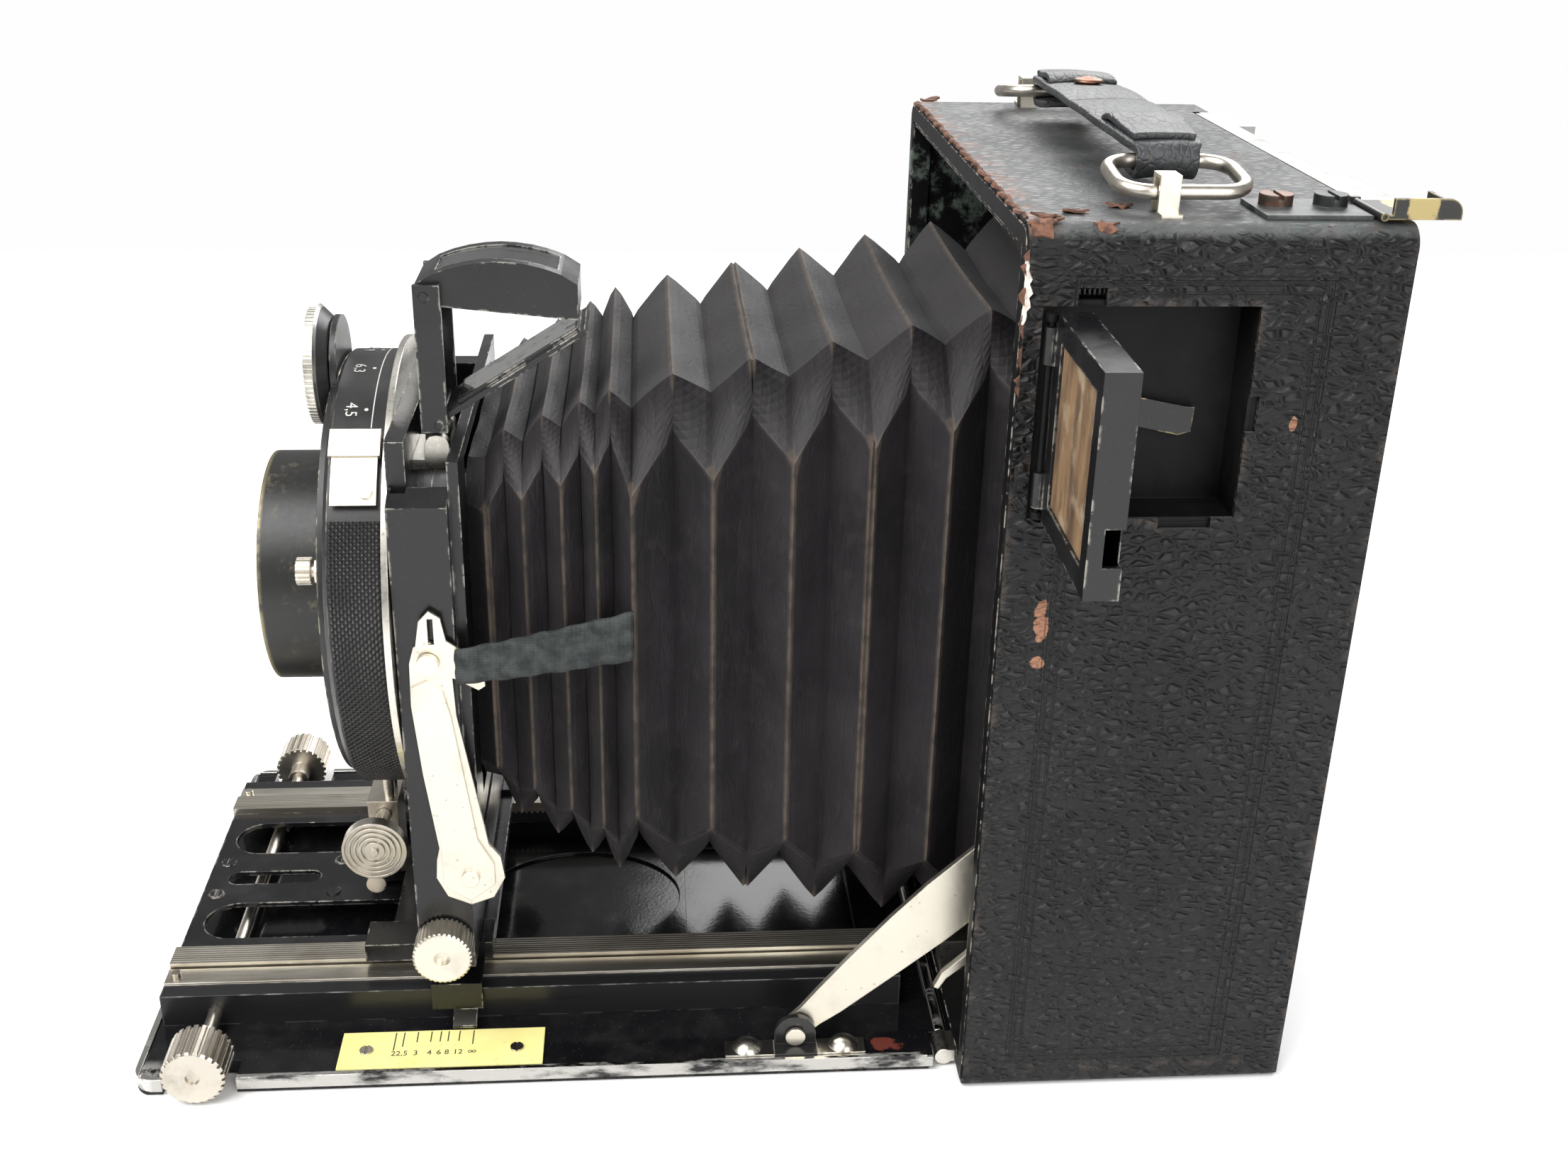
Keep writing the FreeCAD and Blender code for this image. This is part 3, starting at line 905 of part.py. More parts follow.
# ---------------------------------------------------------------- joined pieces
MERGE = {
    "leather_covers": ["leather_top_cover", "leather_near_cover", "leather_far_cover"],
    "rear_partition": ["rear_partition", "bellows_rear_frame", "back_rails"],
    "hatch_liner": ["hatch_liner", "hatch_hinge_pin"],
    "hatch_springs": ["hatch_spring_arm", "hatch_catch_spring"],
    "bed_hinge": ["bed_hinge_ears", "bed_hinge_rod"],
    "body_inner_rails": ["body_rails", "strut_slot_plates", "release_stud"],
    "latch_plate": ["latch_plate", "latch_screws", "latch_pin"],
    "focusing_back_frame": ["focusing_back_frame", "ground_glass_clips"],
    "bed_guides": ["bed_guides", "guide_strips"],
    "bed_fittings": ["strut_brackets", "bracket_rivets", "bed_screws"],
    "strut_near": ["strut_near", "strut_near_pins"],
    "strut_far": ["strut_far", "strut_far_pins"],
    "track_plate": ["track_plate", "track_screws"],
    "track_rails": ["track_rails", "focus_racks"],
    "focus_knobs": ["focus_knob_near", "focus_knob_far"],
    "grip_bracket": ["grip_bracket", "grip_stop_pins", "rise_stop_rods"],
    "shift_frame": ["shift_frame", "bellows_front_frame"],
    "side_braces": ["side_brace_near", "side_brace_far", "brace_rivets", "strap_plate"],
    "shift_knob": ["shift_knob", "shift_spindle"],
    "lens_cells": ["front_lens_cell", "rear_lens_cell"],
    "lens_elements": ["front_lens", "rear_lens"],
    "shutter_housing": ["shutter_drum", "shutter_front_plate", "cable_socket", "lever_studs", "dial_stud"],
    "aperture_index": ["aperture_index", "index_plate", "index_screw"],
    "finder_front": ["finder_front", "finder_pins"],
    "finder_glass": ["finder_lens", "finder_window"],
    "finder_mirror": ["finder_mirror_plate", "finder_mirror"],
}
byname = dict(NODES)
taken = set()
for k, v in MERGE.items():
    taken.update(v)
FINAL = [(l, o) for l, o in NODES if l not in taken]
for k, v in MERGE.items():
    parts = [byname[x] for x in v]
    for x, po in zip(v, parts):
        po.Label = x + "_piece"
    m = fuse(*parts)
    m.Label = k
    FINAL.append((k, m))
NODES = FINAL

# ---------------------------------------------------------------- checks, then export
doc.recompute()
bad = []
for ob in doc.Objects:
    st = [str(s) for s in ob.State]
    if "Invalid" in st or "Error" in st:
        bad.append((ob.Name, ob.Label, st))
for label, ob in NODES:
    if ob.Shape.isNull() or not ob.Shape.isValid() or not ob.Shape.Solids:
        bad.append((label, "shape", ob.Shape.isNull() or ob.Shape.isValid(), len(ob.Shape.Solids)))
if bad:
    for b in bad:
        print("BAD", b)
    raise SystemExit(1)
assert len(NODES) <= 60, len(NODES)
os.makedirs("parts", exist_ok=True)
names = set()
for label, ob in NODES:
    assert label not in names, label
    names.add(label)
    ob.Shape.exportStep("parts/%s.step" % label)
print("nodes", len(NODES))
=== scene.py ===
import bpy, bmesh, math, random
from mathutils import Vector, Matrix


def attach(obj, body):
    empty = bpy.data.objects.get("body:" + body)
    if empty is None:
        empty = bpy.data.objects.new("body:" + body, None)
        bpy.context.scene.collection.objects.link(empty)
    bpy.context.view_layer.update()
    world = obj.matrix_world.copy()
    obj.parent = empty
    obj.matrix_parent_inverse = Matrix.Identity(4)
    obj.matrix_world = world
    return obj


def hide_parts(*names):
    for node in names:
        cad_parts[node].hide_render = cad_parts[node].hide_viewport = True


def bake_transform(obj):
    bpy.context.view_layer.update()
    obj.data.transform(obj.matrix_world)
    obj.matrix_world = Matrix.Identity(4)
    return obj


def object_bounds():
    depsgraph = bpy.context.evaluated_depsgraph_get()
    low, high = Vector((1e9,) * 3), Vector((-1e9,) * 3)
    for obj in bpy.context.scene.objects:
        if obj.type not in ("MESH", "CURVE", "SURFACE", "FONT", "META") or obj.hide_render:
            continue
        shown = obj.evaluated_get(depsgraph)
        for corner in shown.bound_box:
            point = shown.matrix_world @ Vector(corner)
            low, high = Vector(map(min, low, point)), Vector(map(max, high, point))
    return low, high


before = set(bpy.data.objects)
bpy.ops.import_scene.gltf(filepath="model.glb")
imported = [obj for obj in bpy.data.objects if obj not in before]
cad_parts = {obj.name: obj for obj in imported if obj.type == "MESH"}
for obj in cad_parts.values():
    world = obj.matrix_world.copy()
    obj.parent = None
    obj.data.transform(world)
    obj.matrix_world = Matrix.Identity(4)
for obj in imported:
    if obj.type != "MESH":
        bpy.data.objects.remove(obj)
LO0, HI0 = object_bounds()
random.seed(4)
R = math.radians
AX = 0.0835  # height of the lens axis


# ------------------------------------------------------------------ node helper
class M:
    """A small writer of node materials."""

    def __init__(self, name, **k):
        self.m = bpy.data.materials.new(name)
        self.m.use_nodes = True
        self.t = self.m.node_tree
        self.b = [n for n in self.t.nodes if n.type == "BSDF_PRINCIPLED"][0]
        self.out = [n for n in self.t.nodes if n.type == "OUTPUT_MATERIAL"][0]
        for a, v in k.items():
            self.set(a.replace("_", " "), v)

    def set(self, sock, v):
        s = self.b.inputs[sock]
        if hasattr(v, "links") and not isinstance(v, (int, float, tuple)):
            self.t.links.new(v, s)
        elif isinstance(v, tuple) and len(v) == 3:
            s.default_value = (*v, 1)
        else:
            s.default_value = v

    def n(self, kind, **k):
        x = self.t.nodes.new("ShaderNode" + kind)
        for a, v in k.items():
            setattr(x, a, v)
        return x

    def plug(self, s, v):
        if isinstance(v, (int, float)):
            s.default_value = v
        elif isinstance(v, (tuple, list)):
            s.default_value = (*v, 1) if len(v) == 3 and s.type == "RGBA" else v
        else:
            self.t.links.new(v, s)

    def obj(self):
        return self.n("TexCoord").outputs["Object"]

    def xyz(self):
        s = self.n("SeparateXYZ")
        self.t.links.new(self.obj(), s.inputs[0])
        return s.outputs

    def math(self, op, a, b=0.0, c=0.0, clamp=False):
        x = self.n("Math", operation=op, use_clamp=clamp)
        for i, v in enumerate((a, b, c)):
            if i < len(x.inputs):
                self.plug(x.inputs[i], v)
        return x.outputs[0]

    def noise(self, scale, detail=4, rough=0.55, vec=None, dist=0.0):
        x = self.n("TexNoise")
        x.inputs["Scale"].default_value = scale
        x.inputs["Detail"].default_value = detail
        x.inputs["Roughness"].default_value = rough
        x.inputs["Distortion"].default_value = dist
        self.t.links.new(vec or self.obj(), x.inputs["Vector"])
        return x.outputs[0]

    def voro(self, scale, vec=None, feature="F1", rand=1.0, out="Distance"):
        x = self.n("TexVoronoi", feature=feature)
        x.inputs["Scale"].default_value = scale
        x.inputs["Randomness"].default_value = rand
        self.t.links.new(vec or self.obj(), x.inputs["Vector"])
        return x.outputs[out]

    def mapped(self, scale=(1, 1, 1), rot=(0, 0, 0), loc=(0, 0, 0), vec=None):
        x = self.n("Mapping")
        x.inputs["Scale"].default_value = scale
        x.inputs["Rotation"].default_value = rot
        x.inputs["Location"].default_value = loc
        self.t.links.new(vec or self.obj(), x.inputs["Vector"])
        return x.outputs[0]

    def ramp(self, fac, stops, interp="LINEAR"):
        x = self.n("ValToRGB")
        x.color_ramp.interpolation = interp
        e = x.color_ramp.elements
        while len(e) > 1:
            e.remove(e[0])
        e[0].position, e[0].color = stops[0][0], self.col(stops[0][1])
        for p, c in stops[1:]:
            q = e.new(p)
            q.color = self.col(c)
        self.plug(x.inputs[0], fac)
        return x.outputs[0]

    @staticmethod
    def col(c):
        return (c, c, c, 1) if isinstance(c, (int, float)) else (*c, 1)

    def mix(self, fac, a, b):
        x = self.n("Mix", data_type="RGBA")
        self.plug(x.inputs[0], fac)
        self.plug(x.inputs[6], self.col(a) if isinstance(a, (int, float)) or isinstance(a, tuple) else a)
        self.plug(x.inputs[7], self.col(b) if isinstance(b, (int, float)) or isinstance(b, tuple) else b)
        return x.outputs[2]

    def band(self, v, lo, hi, soft):
        """1 between lo and hi, falling to 0 over soft."""
        a = self.n("MapRange", interpolation_type="SMOOTHSTEP")
        self.plug(a.inputs[0], v)
        a.inputs[1].default_value, a.inputs[2].default_value = lo - soft, lo
        b = self.n("MapRange", interpolation_type="SMOOTHSTEP")
        self.plug(b.inputs[0], v)
        b.inputs[1].default_value, b.inputs[2].default_value = hi, hi + soft
        return self.math("MULTIPLY", a.outputs[0], self.math("SUBTRACT", 1.0, b.outputs[0]), clamp=True)

    def step(self, v, lo, hi):
        a = self.n("MapRange", interpolation_type="SMOOTHSTEP")
        self.plug(a.inputs[0], v)
        a.inputs[1].default_value, a.inputs[2].default_value = lo, hi
        return a.outputs[0]

    def edge(self, radius=0.0006):
        """Mask that rises at convex and concave edges."""
        bv = self.n("Bevel", samples=6)
        bv.inputs["Radius"].default_value = radius
        g = self.n("NewGeometry")
        d = self.n("VectorMath", operation="DOT_PRODUCT")
        self.t.links.new(bv.outputs[0], d.inputs[0])
        self.t.links.new(g.outputs["Normal"], d.inputs[1])
        return self.math("SUBTRACT", 1.0, d.outputs["Value"], clamp=True)

    def bump(self, h, strength=0.3, dist=0.001, normal=None):
        x = self.n("Bump")
        x.inputs["Strength"].default_value = strength
        x.inputs["Distance"].default_value = dist
        self.plug(x.inputs["Height"], h)
        if normal is not None:
            self.t.links.new(normal, x.inputs["Normal"])
        return x.outputs[0]

    def soft_edge(self, radius=0.0003):
        bv = self.n("Bevel", samples=4)
        bv.inputs["Radius"].default_value = radius
        return bv.outputs[0]


def geo_normal(m):
    s = m.n("SeparateXYZ")
    m.t.links.new(m.n("NewGeometry").outputs["Normal"], s.inputs[0])
    return s.outputs


# ------------------------------------------------------------------ materials
def enamel(name, wear=1.0, base=(0.006, 0.006, 0.007), worn=(0.55, 0.53, 0.48), rough=0.22, dust=0.35, radius=0.0005):
    m = M(name)
    n1 = m.noise(180, 5)
    n2 = m.noise(900, 3)
    e = m.edge(radius)
    e = m.math("MULTIPLY", m.math("MULTIPLY", e, 6.0), m.math("MULTIPLY", m.step(n1, 0.44, 0.62), m.step(n2, 0.30, 0.6)))
    e = m.math("MULTIPLY", m.step(e, 0.25, 0.6), wear, clamp=True)
    dn = m.noise(60, 6, 0.65)
    c = m.mix(m.math("MULTIPLY", m.step(dn, 0.45, 0.8), dust), base, (0.026, 0.025, 0.023))
    sp = m.step(m.voro(700, rand=1.0), 0.10, 0.04)
    c = m.mix(m.math("MULTIPLY", sp, 0.25), c, (0.16, 0.15, 0.13))
    c = m.mix(e, c, worn)
    m.set("Base Color", c)
    m.set("Metallic", e)
    r = m.math("ADD", m.math("MULTIPLY", m.step(dn, 0.35, 0.75), 0.22), rough)
    m.set("Roughness", m.math("ADD", r, m.math("MULTIPLY", e, 0.12)))
    m.set("Normal", m.bump(m.noise(2600, 2), 0.05, 0.0002, m.soft_edge(0.00022)))
    return m.m


def nickel(name, tint=(0.74, 0.71, 0.64), rough=0.24, brush=None, dark=0.35, tarn=(0.20, 0.17, 0.13)):
    m = M(name, Metallic=1.0)
    n1 = m.noise(120, 6, 0.65)
    n2 = m.noise(520, 4)
    c = m.mix(m.math("MULTIPLY", m.step(n1, 0.48, 0.78), dark), tint, tarn)
    sp = m.step(m.voro(420), 0.16, 0.05)
    c = m.mix(m.math("MULTIPLY", sp, 0.35), c, (0.14, 0.11, 0.08))
    m.set("Base Color", c)
    vec = m.mapped(brush) if brush else m.obj()
    fine = m.noise(900, 4, 0.6, vec)
    m.set("Roughness", m.math("ADD", m.math("MULTIPLY", fine, 0.22), m.math("ADD", rough - 0.08, m.math("MULTIPLY", n2, 0.06))))
    m.set("Normal", m.bump(fine, 0.12, 0.00012, m.soft_edge(0.00025)))
    return m.m


def leather_side():
    """Pebbled black leather; the top is worn smooth and grey."""
    m = M("leather_covering")
    o = m.xyz()
    x, y, z = o[0], o[1], o[2]
    nrm = geo_normal(m)
    wob = m.noise(70, 3)
    warp = m.n("VectorMath", operation="MULTIPLY_ADD")
    nz = m.n("TexNoise")
    nz.inputs["Scale"].default_value = 130
    m.t.links.new(m.obj(), nz.inputs["Vector"])
    m.t.links.new(nz.outputs[1], warp.inputs[0])
    warp.inputs[1].default_value = (0.0030, 0.0030, 0.0030)
    m.t.links.new(m.obj(), warp.inputs[2])
    v1 = m.mapped((1, 0.62, 1.25), vec=warp.outputs[0], rot=(R(6), 0, 0))
    cells = m.voro(560, v1, "DISTANCE_TO_EDGE")
    big = m.voro(300, m.mapped((1, 0.7, 1.2), vec=warp.outputs[0]), "DISTANCE_TO_EDGE")
    peb = m.math("MULTIPLY", m.step(cells, 0.0, 0.30), m.math("ADD", 0.45, m.math("MULTIPLY", m.step(big, 0.0, 0.16), 0.55)))
    fine = m.noise(1900, 4)
    # near top of the wall the grain is rubbed flat
    rub = m.math("MULTIPLY", m.step(z, 0.139, 0.160), m.step(m.noise(48, 4), 0.35, 0.65))
    top = m.step(m.math("ABSOLUTE", nrm[2]), 0.55, 0.85)
    flat = m.math("MAXIMUM", m.math("MULTIPLY", rub, 0.6), m.math("MULTIPLY", top, 0.93))
    h = m.math("MULTIPLY", peb, m.math("SUBTRACT", 1.0, flat))
    # blind-tooled double frame on the two sides
    side = m.step(m.math("ABSOLUTE", nrm[0]), 0.6, 0.9)
    y0, y1, z0, z1 = -0.0225, 0.0185, 0.0062, 0.1568

    def frame_line(inset, w):
        a = m.math("SUBTRACT", m.math("ABSOLUTE", m.math("SUBTRACT", y, (y0 + y1) / 2)), (y1 - y0) / 2 - inset)
        b = m.math("SUBTRACT", m.math("ABSOLUTE", m.math("SUBTRACT", z, (z0 + z1) / 2)), (z1 - z0) / 2 - inset)
        d = m.math("ABSOLUTE", m.math("MAXIMUM", a, b))
        return m.step(d, w, w * 0.35)

    ln = m.math("MAXIMUM", frame_line(0.0, 0.00045), m.math("MAXIMUM", frame_line(0.0023, 0.0003), frame_line(0.0009, 0.00028)))
    ln = m.math("MULTIPLY", ln, side)
    h2 = m.math("SUBTRACT", h, m.math("MULTIPLY", ln, 0.75))
    h3 = m.math("ADD", h2, m.math("MULTIPLY", fine, 0.12))
    # colour
    var = m.noise(26, 5, 0.6)
    c = m.mix(m.step(var, 0.35, 0.7), (0.0045, 0.0046, 0.0052), (0.0120, 0.0117, 0.0113))
    # pebble crowns painted lighter: a painted highlight on the grain
    c = m.mix(m.math("MULTIPLY", m.step(peb, 0.35, 0.95), 0.5), c, (0.017, 0.017, 0.018))
    c = m.mix(m.math("MULTIPLY", ln, 0.6), c, (0.006, 0.006, 0.006))
    # rubbed edges turn brown-grey
    e = m.math("MULTIPLY", m.step(m.math("MULTIPLY", m.edge(0.0028), 3.0), 0.18, 0.8), m.step(m.noise(210, 5), 0.46, 0.62))
    c = m.mix(m.math("MULTIPLY", e, 0.75), c, (0.075, 0.060, 0.050))

    # scuffs through to tan
    def spot(cy, cz, ry, rz, thr, s=420):
        dy = m.math("DIVIDE", m.math("SUBTRACT", y, cy), ry)
        dz = m.math("DIVIDE", m.math("SUBTRACT", z, cz), rz)
        r = m.math("ADD", m.math("MULTIPLY", dy, dy), m.math("MULTIPLY", dz, dz))
        q = m.math("SUBTRACT", 1.0, r, clamp=True)
        return m.step(m.math("MULTIPLY", q, m.noise(s, 4)), thr, thr + 0.05)

    near = m.step(nrm[0], 0.5, 0.8)
    s = m.math("MAXIMUM", spot(-0.0235, 0.0985, 0.0021, 0.0062, 0.30), spot(-0.0236, 0.0905, 0.0020, 0.0022, 0.30))
    s = m.math("MAXIMUM", s, spot(0.0147, 0.1330, 0.0010, 0.0024, 0.32))
    s = m.math("MULTIPLY", s, near)
    c = m.mix(s, c, (0.30, 0.145, 0.085))
    # top: grey, smooth, stained
    tn = m.noise(75, 6, 0.62)
    tc = m.mix(m.step(tn, 0.35, 0.72), (0.050, 0.052, 0.053), (0.105, 0.108, 0.106))
    tc = m.mix(m.math("MULTIPLY", m.step(m.noise(240, 5), 0.60, 0.72), 0.6), tc, (0.070, 0.105, 0.095))
    tc = m.mix(m.math("MULTIPLY", m.step(m.noise(160, 5, vec=m.mapped(loc=(3, 1, 2))), 0.60, 0.70), 0.55), tc, (0.095, 0.066, 0.052))
    tc = m.mix(m.math("MULTIPLY", m.step(m.noise(700, 4), 0.66, 0.72), 0.8), tc, (0.02, 0.02, 0.02))
    edge_front = m.math("MULTIPLY", m.step(y, -0.0245, -0.0300), m.step(m.noise(330, 5), 0.44, 0.56))
    tc = m.mix(m.math("MULTIPLY", edge_front, 0.85), tc, (0.16, 0.075, 0.048))
    up = m.step(nrm[2], 0.35, 0.75)
    c = m.mix(up, c, tc)
    m.set("Base Color", c)
    m.set("Roughness", m.math("ADD", 0.36, m.math("MULTIPLY", m.math("SUBTRACT", 1.0, peb), 0.25)))
    m.set("Specular IOR Level", 0.34)
    m.set("Normal", m.bump(h3, 1.0, 0.00085))
    return m.m


def bellows_mat():
    m = M("bellows_hide")
    at = m.n("Attribute", attribute_name="ridge")
    rid = at.outputs["Fac"]
    n1 = m.noise(36, 5, 0.6)
    n2 = m.noise(230, 5, 0.6)
    c = m.mix(m.step(n1, 0.32, 0.72), (0.0070, 0.0060, 0.0070), (0.0190, 0.0155, 0.0180))
    c = m.mix(m.math("MULTIPLY", m.step(n2, 0.5, 0.75), 0.5), c, (0.028, 0.023, 0.025))
    # upward-looking faces painted lighter: painted light from above on the folds
    nrm = geo_normal(m)
    c = m.mix(m.math("MULTIPLY", m.step(nrm[2], 0.2, 0.8), 0.55), c, (0.050, 0.048, 0.048))
    wear = m.math("MULTIPLY", m.step(rid, 0.55, 0.98), m.math("ADD", 0.45, m.math("MULTIPLY", m.step(m.noise(320, 4), 0.35, 0.6), 0.55)))
    c = m.mix(m.math("MULTIPLY", wear, 0.85), c, (0.092, 0.072, 0.056))
    m.set("Base Color", c)
    m.set("Roughness", 0.62)
    m.set("Sheen Weight", 0.03)
    m.set("Specular IOR Level", 0.28)
    m.set("Sheen Roughness", 0.5)
    wr = m.noise(150, 6, 0.68, m.mapped((1.0, 1.4, 0.45)), 0.6)
    cr = m.voro(240, m.mapped((1, 1.2, 0.35)), "DISTANCE_TO_EDGE")
    h = m.math("ADD", m.math("MULTIPLY", wr, 0.9), m.math("MULTIPLY", m.step(cr, 0.0, 0.08), 0.10))
    m.set("Normal", m.bump(m.math("ADD", h, m.math("MULTIPLY", m.noise(1500, 3), 0.1)), 0.35, 0.0010))
    return m.m


def cloth_mat():
    m = M("strap_weave")
    w = m.n("TexWave", wave_type="BANDS", bands_direction="Z")
    w.inputs["Scale"].default_value = 650
    w.inputs["Distortion"].default_value = 1.2
    m.t.links.new(m.obj(), w.inputs["Vector"])
    w2 = m.n("TexWave", wave_type="BANDS", bands_direction="Y")
    w2.inputs["Scale"].default_value = 420
    w2.inputs["Distortion"].default_value = 1.0
    m.t.links.new(m.obj(), w2.inputs["Vector"])
    h = m.math("MULTIPLY", w.outputs[1], w2.outputs[1])
    c = m.mix(m.step(m.noise(400, 4), 0.3, 0.7), (0.014, 0.017, 0.017), (0.045, 0.052, 0.050))
    m.set("Base Color", c)
    m.set("Roughness", 0.85)
    m.set("Normal", m.bump(m.math("ADD", h, m.math("MULTIPLY", m.noise(900, 4), 0.8)), 0.5, 0.0003))
    return m.m


def strap_mat():
    m = M("handle_hide")
    n1 = m.noise(110, 6, 0.6)
    c = m.mix(m.step(n1, 0.35, 0.7), (0.020, 0.021, 0.023), (0.055, 0.058, 0.060))
    c = m.mix(m.math("MULTIPLY", m.step(m.noise(520, 5), 0.58, 0.70), 0.55), c, (0.11, 0.10, 0.088))
    e = m.math("MULTIPLY", m.step(m.math("MULTIPLY", m.edge(0.0009), 3.0), 0.2, 0.7), m.step(m.noise(260, 4), 0.42, 0.6))
    c = m.mix(m.math("MULTIPLY", e, 0.7), c, (0.10, 0.066, 0.050))
    m.set("Base Color", c)
    m.set("Roughness", 0.45)
    cr = m.voro(520, m.mapped((0.55, 1.3, 1)), "DISTANCE_TO_EDGE")
    m.set("Normal", m.bump(m.math("ADD", m.math("MULTIPLY", m.step(cr, 0, 0.15), 0.4), m.noise(420, 5)), 0.45, 0.0005))
    return m.m


def copper_mat():
    m = M("copper_worn", Metallic=1.0)
    n1 = m.noise(420, 5)
    c = m.mix(m.step(n1, 0.35, 0.7), (0.32, 0.13, 0.08), (0.13, 0.075, 0.05))
    c = m.mix(m.math("MULTIPLY", m.step(m.noise(300, 3), 0.56, 0.66), 0.7), c, (0.10, 0.19, 0.14))
    m.set("Base Color", c)
    m.set("Roughness", 0.42)
    m.set("Normal", m.bump(n1, 0.3, 0.0003))
    return m.m


def scale_mat():
    m = M("scale_enamel")
    c = m.mix(m.step(m.noise(90, 5), 0.35, 0.75), (0.93, 0.86, 0.36), (0.84, 0.75, 0.28))
    c = m.mix(m.math("MULTIPLY", m.step(m.noise(600, 4), 0.62, 0.72), 0.3), c, (0.40, 0.31, 0.16))
    m.set("Base Color", c)
    m.set("Roughness", 0.34)
    m.set("Normal", m.bump(m.noise(800, 3), 0.06, 0.0002, m.soft_edge(0.0003)))
    return m.m


def ink_mat():
    m = M("scale_ink")
    m.set("Base Color", m.mix(m.noise(700, 3), (0.02, 0.018, 0.015), (0.06, 0.05, 0.04)))
    m.set("Roughness", 0.6)
    return m.m


def fill_mat():
    m = M("engraving_fill")
    m.set("Base Color", m.mix(m.noise(700, 3), (0.62, 0.61, 0.58), (0.40, 0.39, 0.36)))
    m.set("Roughness", 0.55)
    return m.m


def tan_mat():
    m = M("bare_board")
    o = m.mapped((1, 1, 0.25))
    c = m.mix(m.step(m.noise(260, 6, 0.6, o), 0.3, 0.72), (0.26, 0.16, 0.08), (0.08, 0.045, 0.025))
    c = m.mix(m.math("MULTIPLY", m.step(m.noise(120, 5), 0.5, 0.66), 0.6), c, (0.42, 0.34, 0.23))
    m.set("Base Color", c)
    m.set("Roughness", 0.7)
    m.set("Normal", m.bump(m.noise(600, 5), 0.4, 0.0006))
    return m.m


def knurl_mat():
    """Diamond knurling round the lens axis, black finish."""
    m = M("diamond_knurl")
    o = m.xyz()
    a = m.math("ARCTAN2", m.math("SUBTRACT", o[2], AX), o[0])
    u = m.math("MULTIPLY", a, 215.0)
    v = m.math("MULTIPLY", o[1], 5000.0)
    p = m.math("ABSOLUTE", m.math("SINE", m.math("MULTIPLY", m.math("ADD", u, v), 0.5)))
    q = m.math("ABSOLUTE", m.math("SINE", m.math("MULTIPLY", m.math("SUBTRACT", u, v), 0.5)))
    h = m.math("MULTIPLY", p, q)
    tip = m.step(h, 0.55, 0.95)
    c = m.mix(m.math("MULTIPLY", tip, m.step(m.noise(160, 4), 0.3, 0.7)), (0.010, 0.010, 0.011), (0.085, 0.082, 0.076))
    m.set("Base Color", c)
    m.set("Roughness", m.math("ADD", 0.30, m.math("MULTIPLY", m.noise(300, 3), 0.15)))
    m.set("Metallic", 0.25)
    m.set("Normal", m.bump(h, 0.9, 0.00045))
    return m.m


def drum_mat():
    m = M("drum_enamel")
    o = m.xyz()
    fine = m.math("SINE", m.math("MULTIPLY", o[1], 26000.0))
    n = m.noise(220, 5)
    c = m.mix(m.step(n, 0.4, 0.75), (0.010, 0.010, 0.011), (0.030, 0.029, 0.027))
    e = m.math("MULTIPLY", m.step(m.math("MULTIPLY", m.edge(0.0005), 6.0), 0.25, 0.6), m.step(m.noise(300, 4), 0.42, 0.6))
    c = m.mix(e, c, (0.50, 0.44, 0.30))
    m.set("Base Color", c)
    m.set("Metallic", e)
    m.set("Roughness", m.math("ADD", 0.26, m.math("MULTIPLY", n, 0.16)))
    m.set("Normal", m.bump(m.math("ADD", m.math("MULTIPLY", fine, 0.10), m.noise(1500, 3)), 0.10, 0.0002, m.soft_edge(0.0003)))
    return m.m


def hood_mat():
    """Black tube whose front edge and skin are rubbed to brass."""
    m = M("hood_enamel")
    o = m.xyz()
    n = m.noise(140, 6, 0.62)
    n2 = m.noise(900, 5, 0.6)
    fr = m.step(o[1], -0.1606, -0.1614)
    front = m.math("MULTIPLY", fr, m.step(n, 0.28, 0.5))
    blot = m.math("MULTIPLY", m.step(n, 0.52, 0.70), m.step(n2, 0.42, 0.62))
    e = m.math("MAXIMUM", front, m.math("MULTIPLY", blot, 0.38))
    c = m.mix(e, (0.014, 0.014, 0.013), (0.30, 0.26, 0.155))
    m.set("Base Color", c)
    m.set("Metallic", m.math("MULTIPLY", e, 0.85))
    m.set("Roughness", m.math("ADD", 0.27, m.math("MULTIPLY", n2, 0.2)))
    m.set("Normal", m.bump(n2, 0.12, 0.0002, m.soft_edge(0.0004)))
    return m.m


def glass_mat(name, rough=0.02, tint=(0.93, 0.96, 0.95)):
    m = M(name)
    m.set("Base Color", m.mix(m.math("MULTIPLY", m.step(m.noise(300, 4), 0.55, 0.75), 0.15), tint, (0.72, 0.74, 0.72)))
    m.set("Transmission Weight", 1.0)
    m.set("IOR", 1.5)
    m.set("Roughness", m.math("ADD", rough, m.math("MULTIPLY", m.noise(500, 4), 0.05)))
    return m.m


def mirror_mat():
    m = M("old_mirror", Metallic=1.0)
    n = m.noise(260, 6, 0.65)
    m.set("Base Color", m.mix(m.step(n, 0.52, 0.72), (0.80, 0.80, 0.78), (0.22, 0.19, 0.15)))
    m.set("Roughness", m.math("ADD", 0.05, m.math("MULTIPLY", m.step(n, 0.45, 0.7), 0.3)))
    return m.m


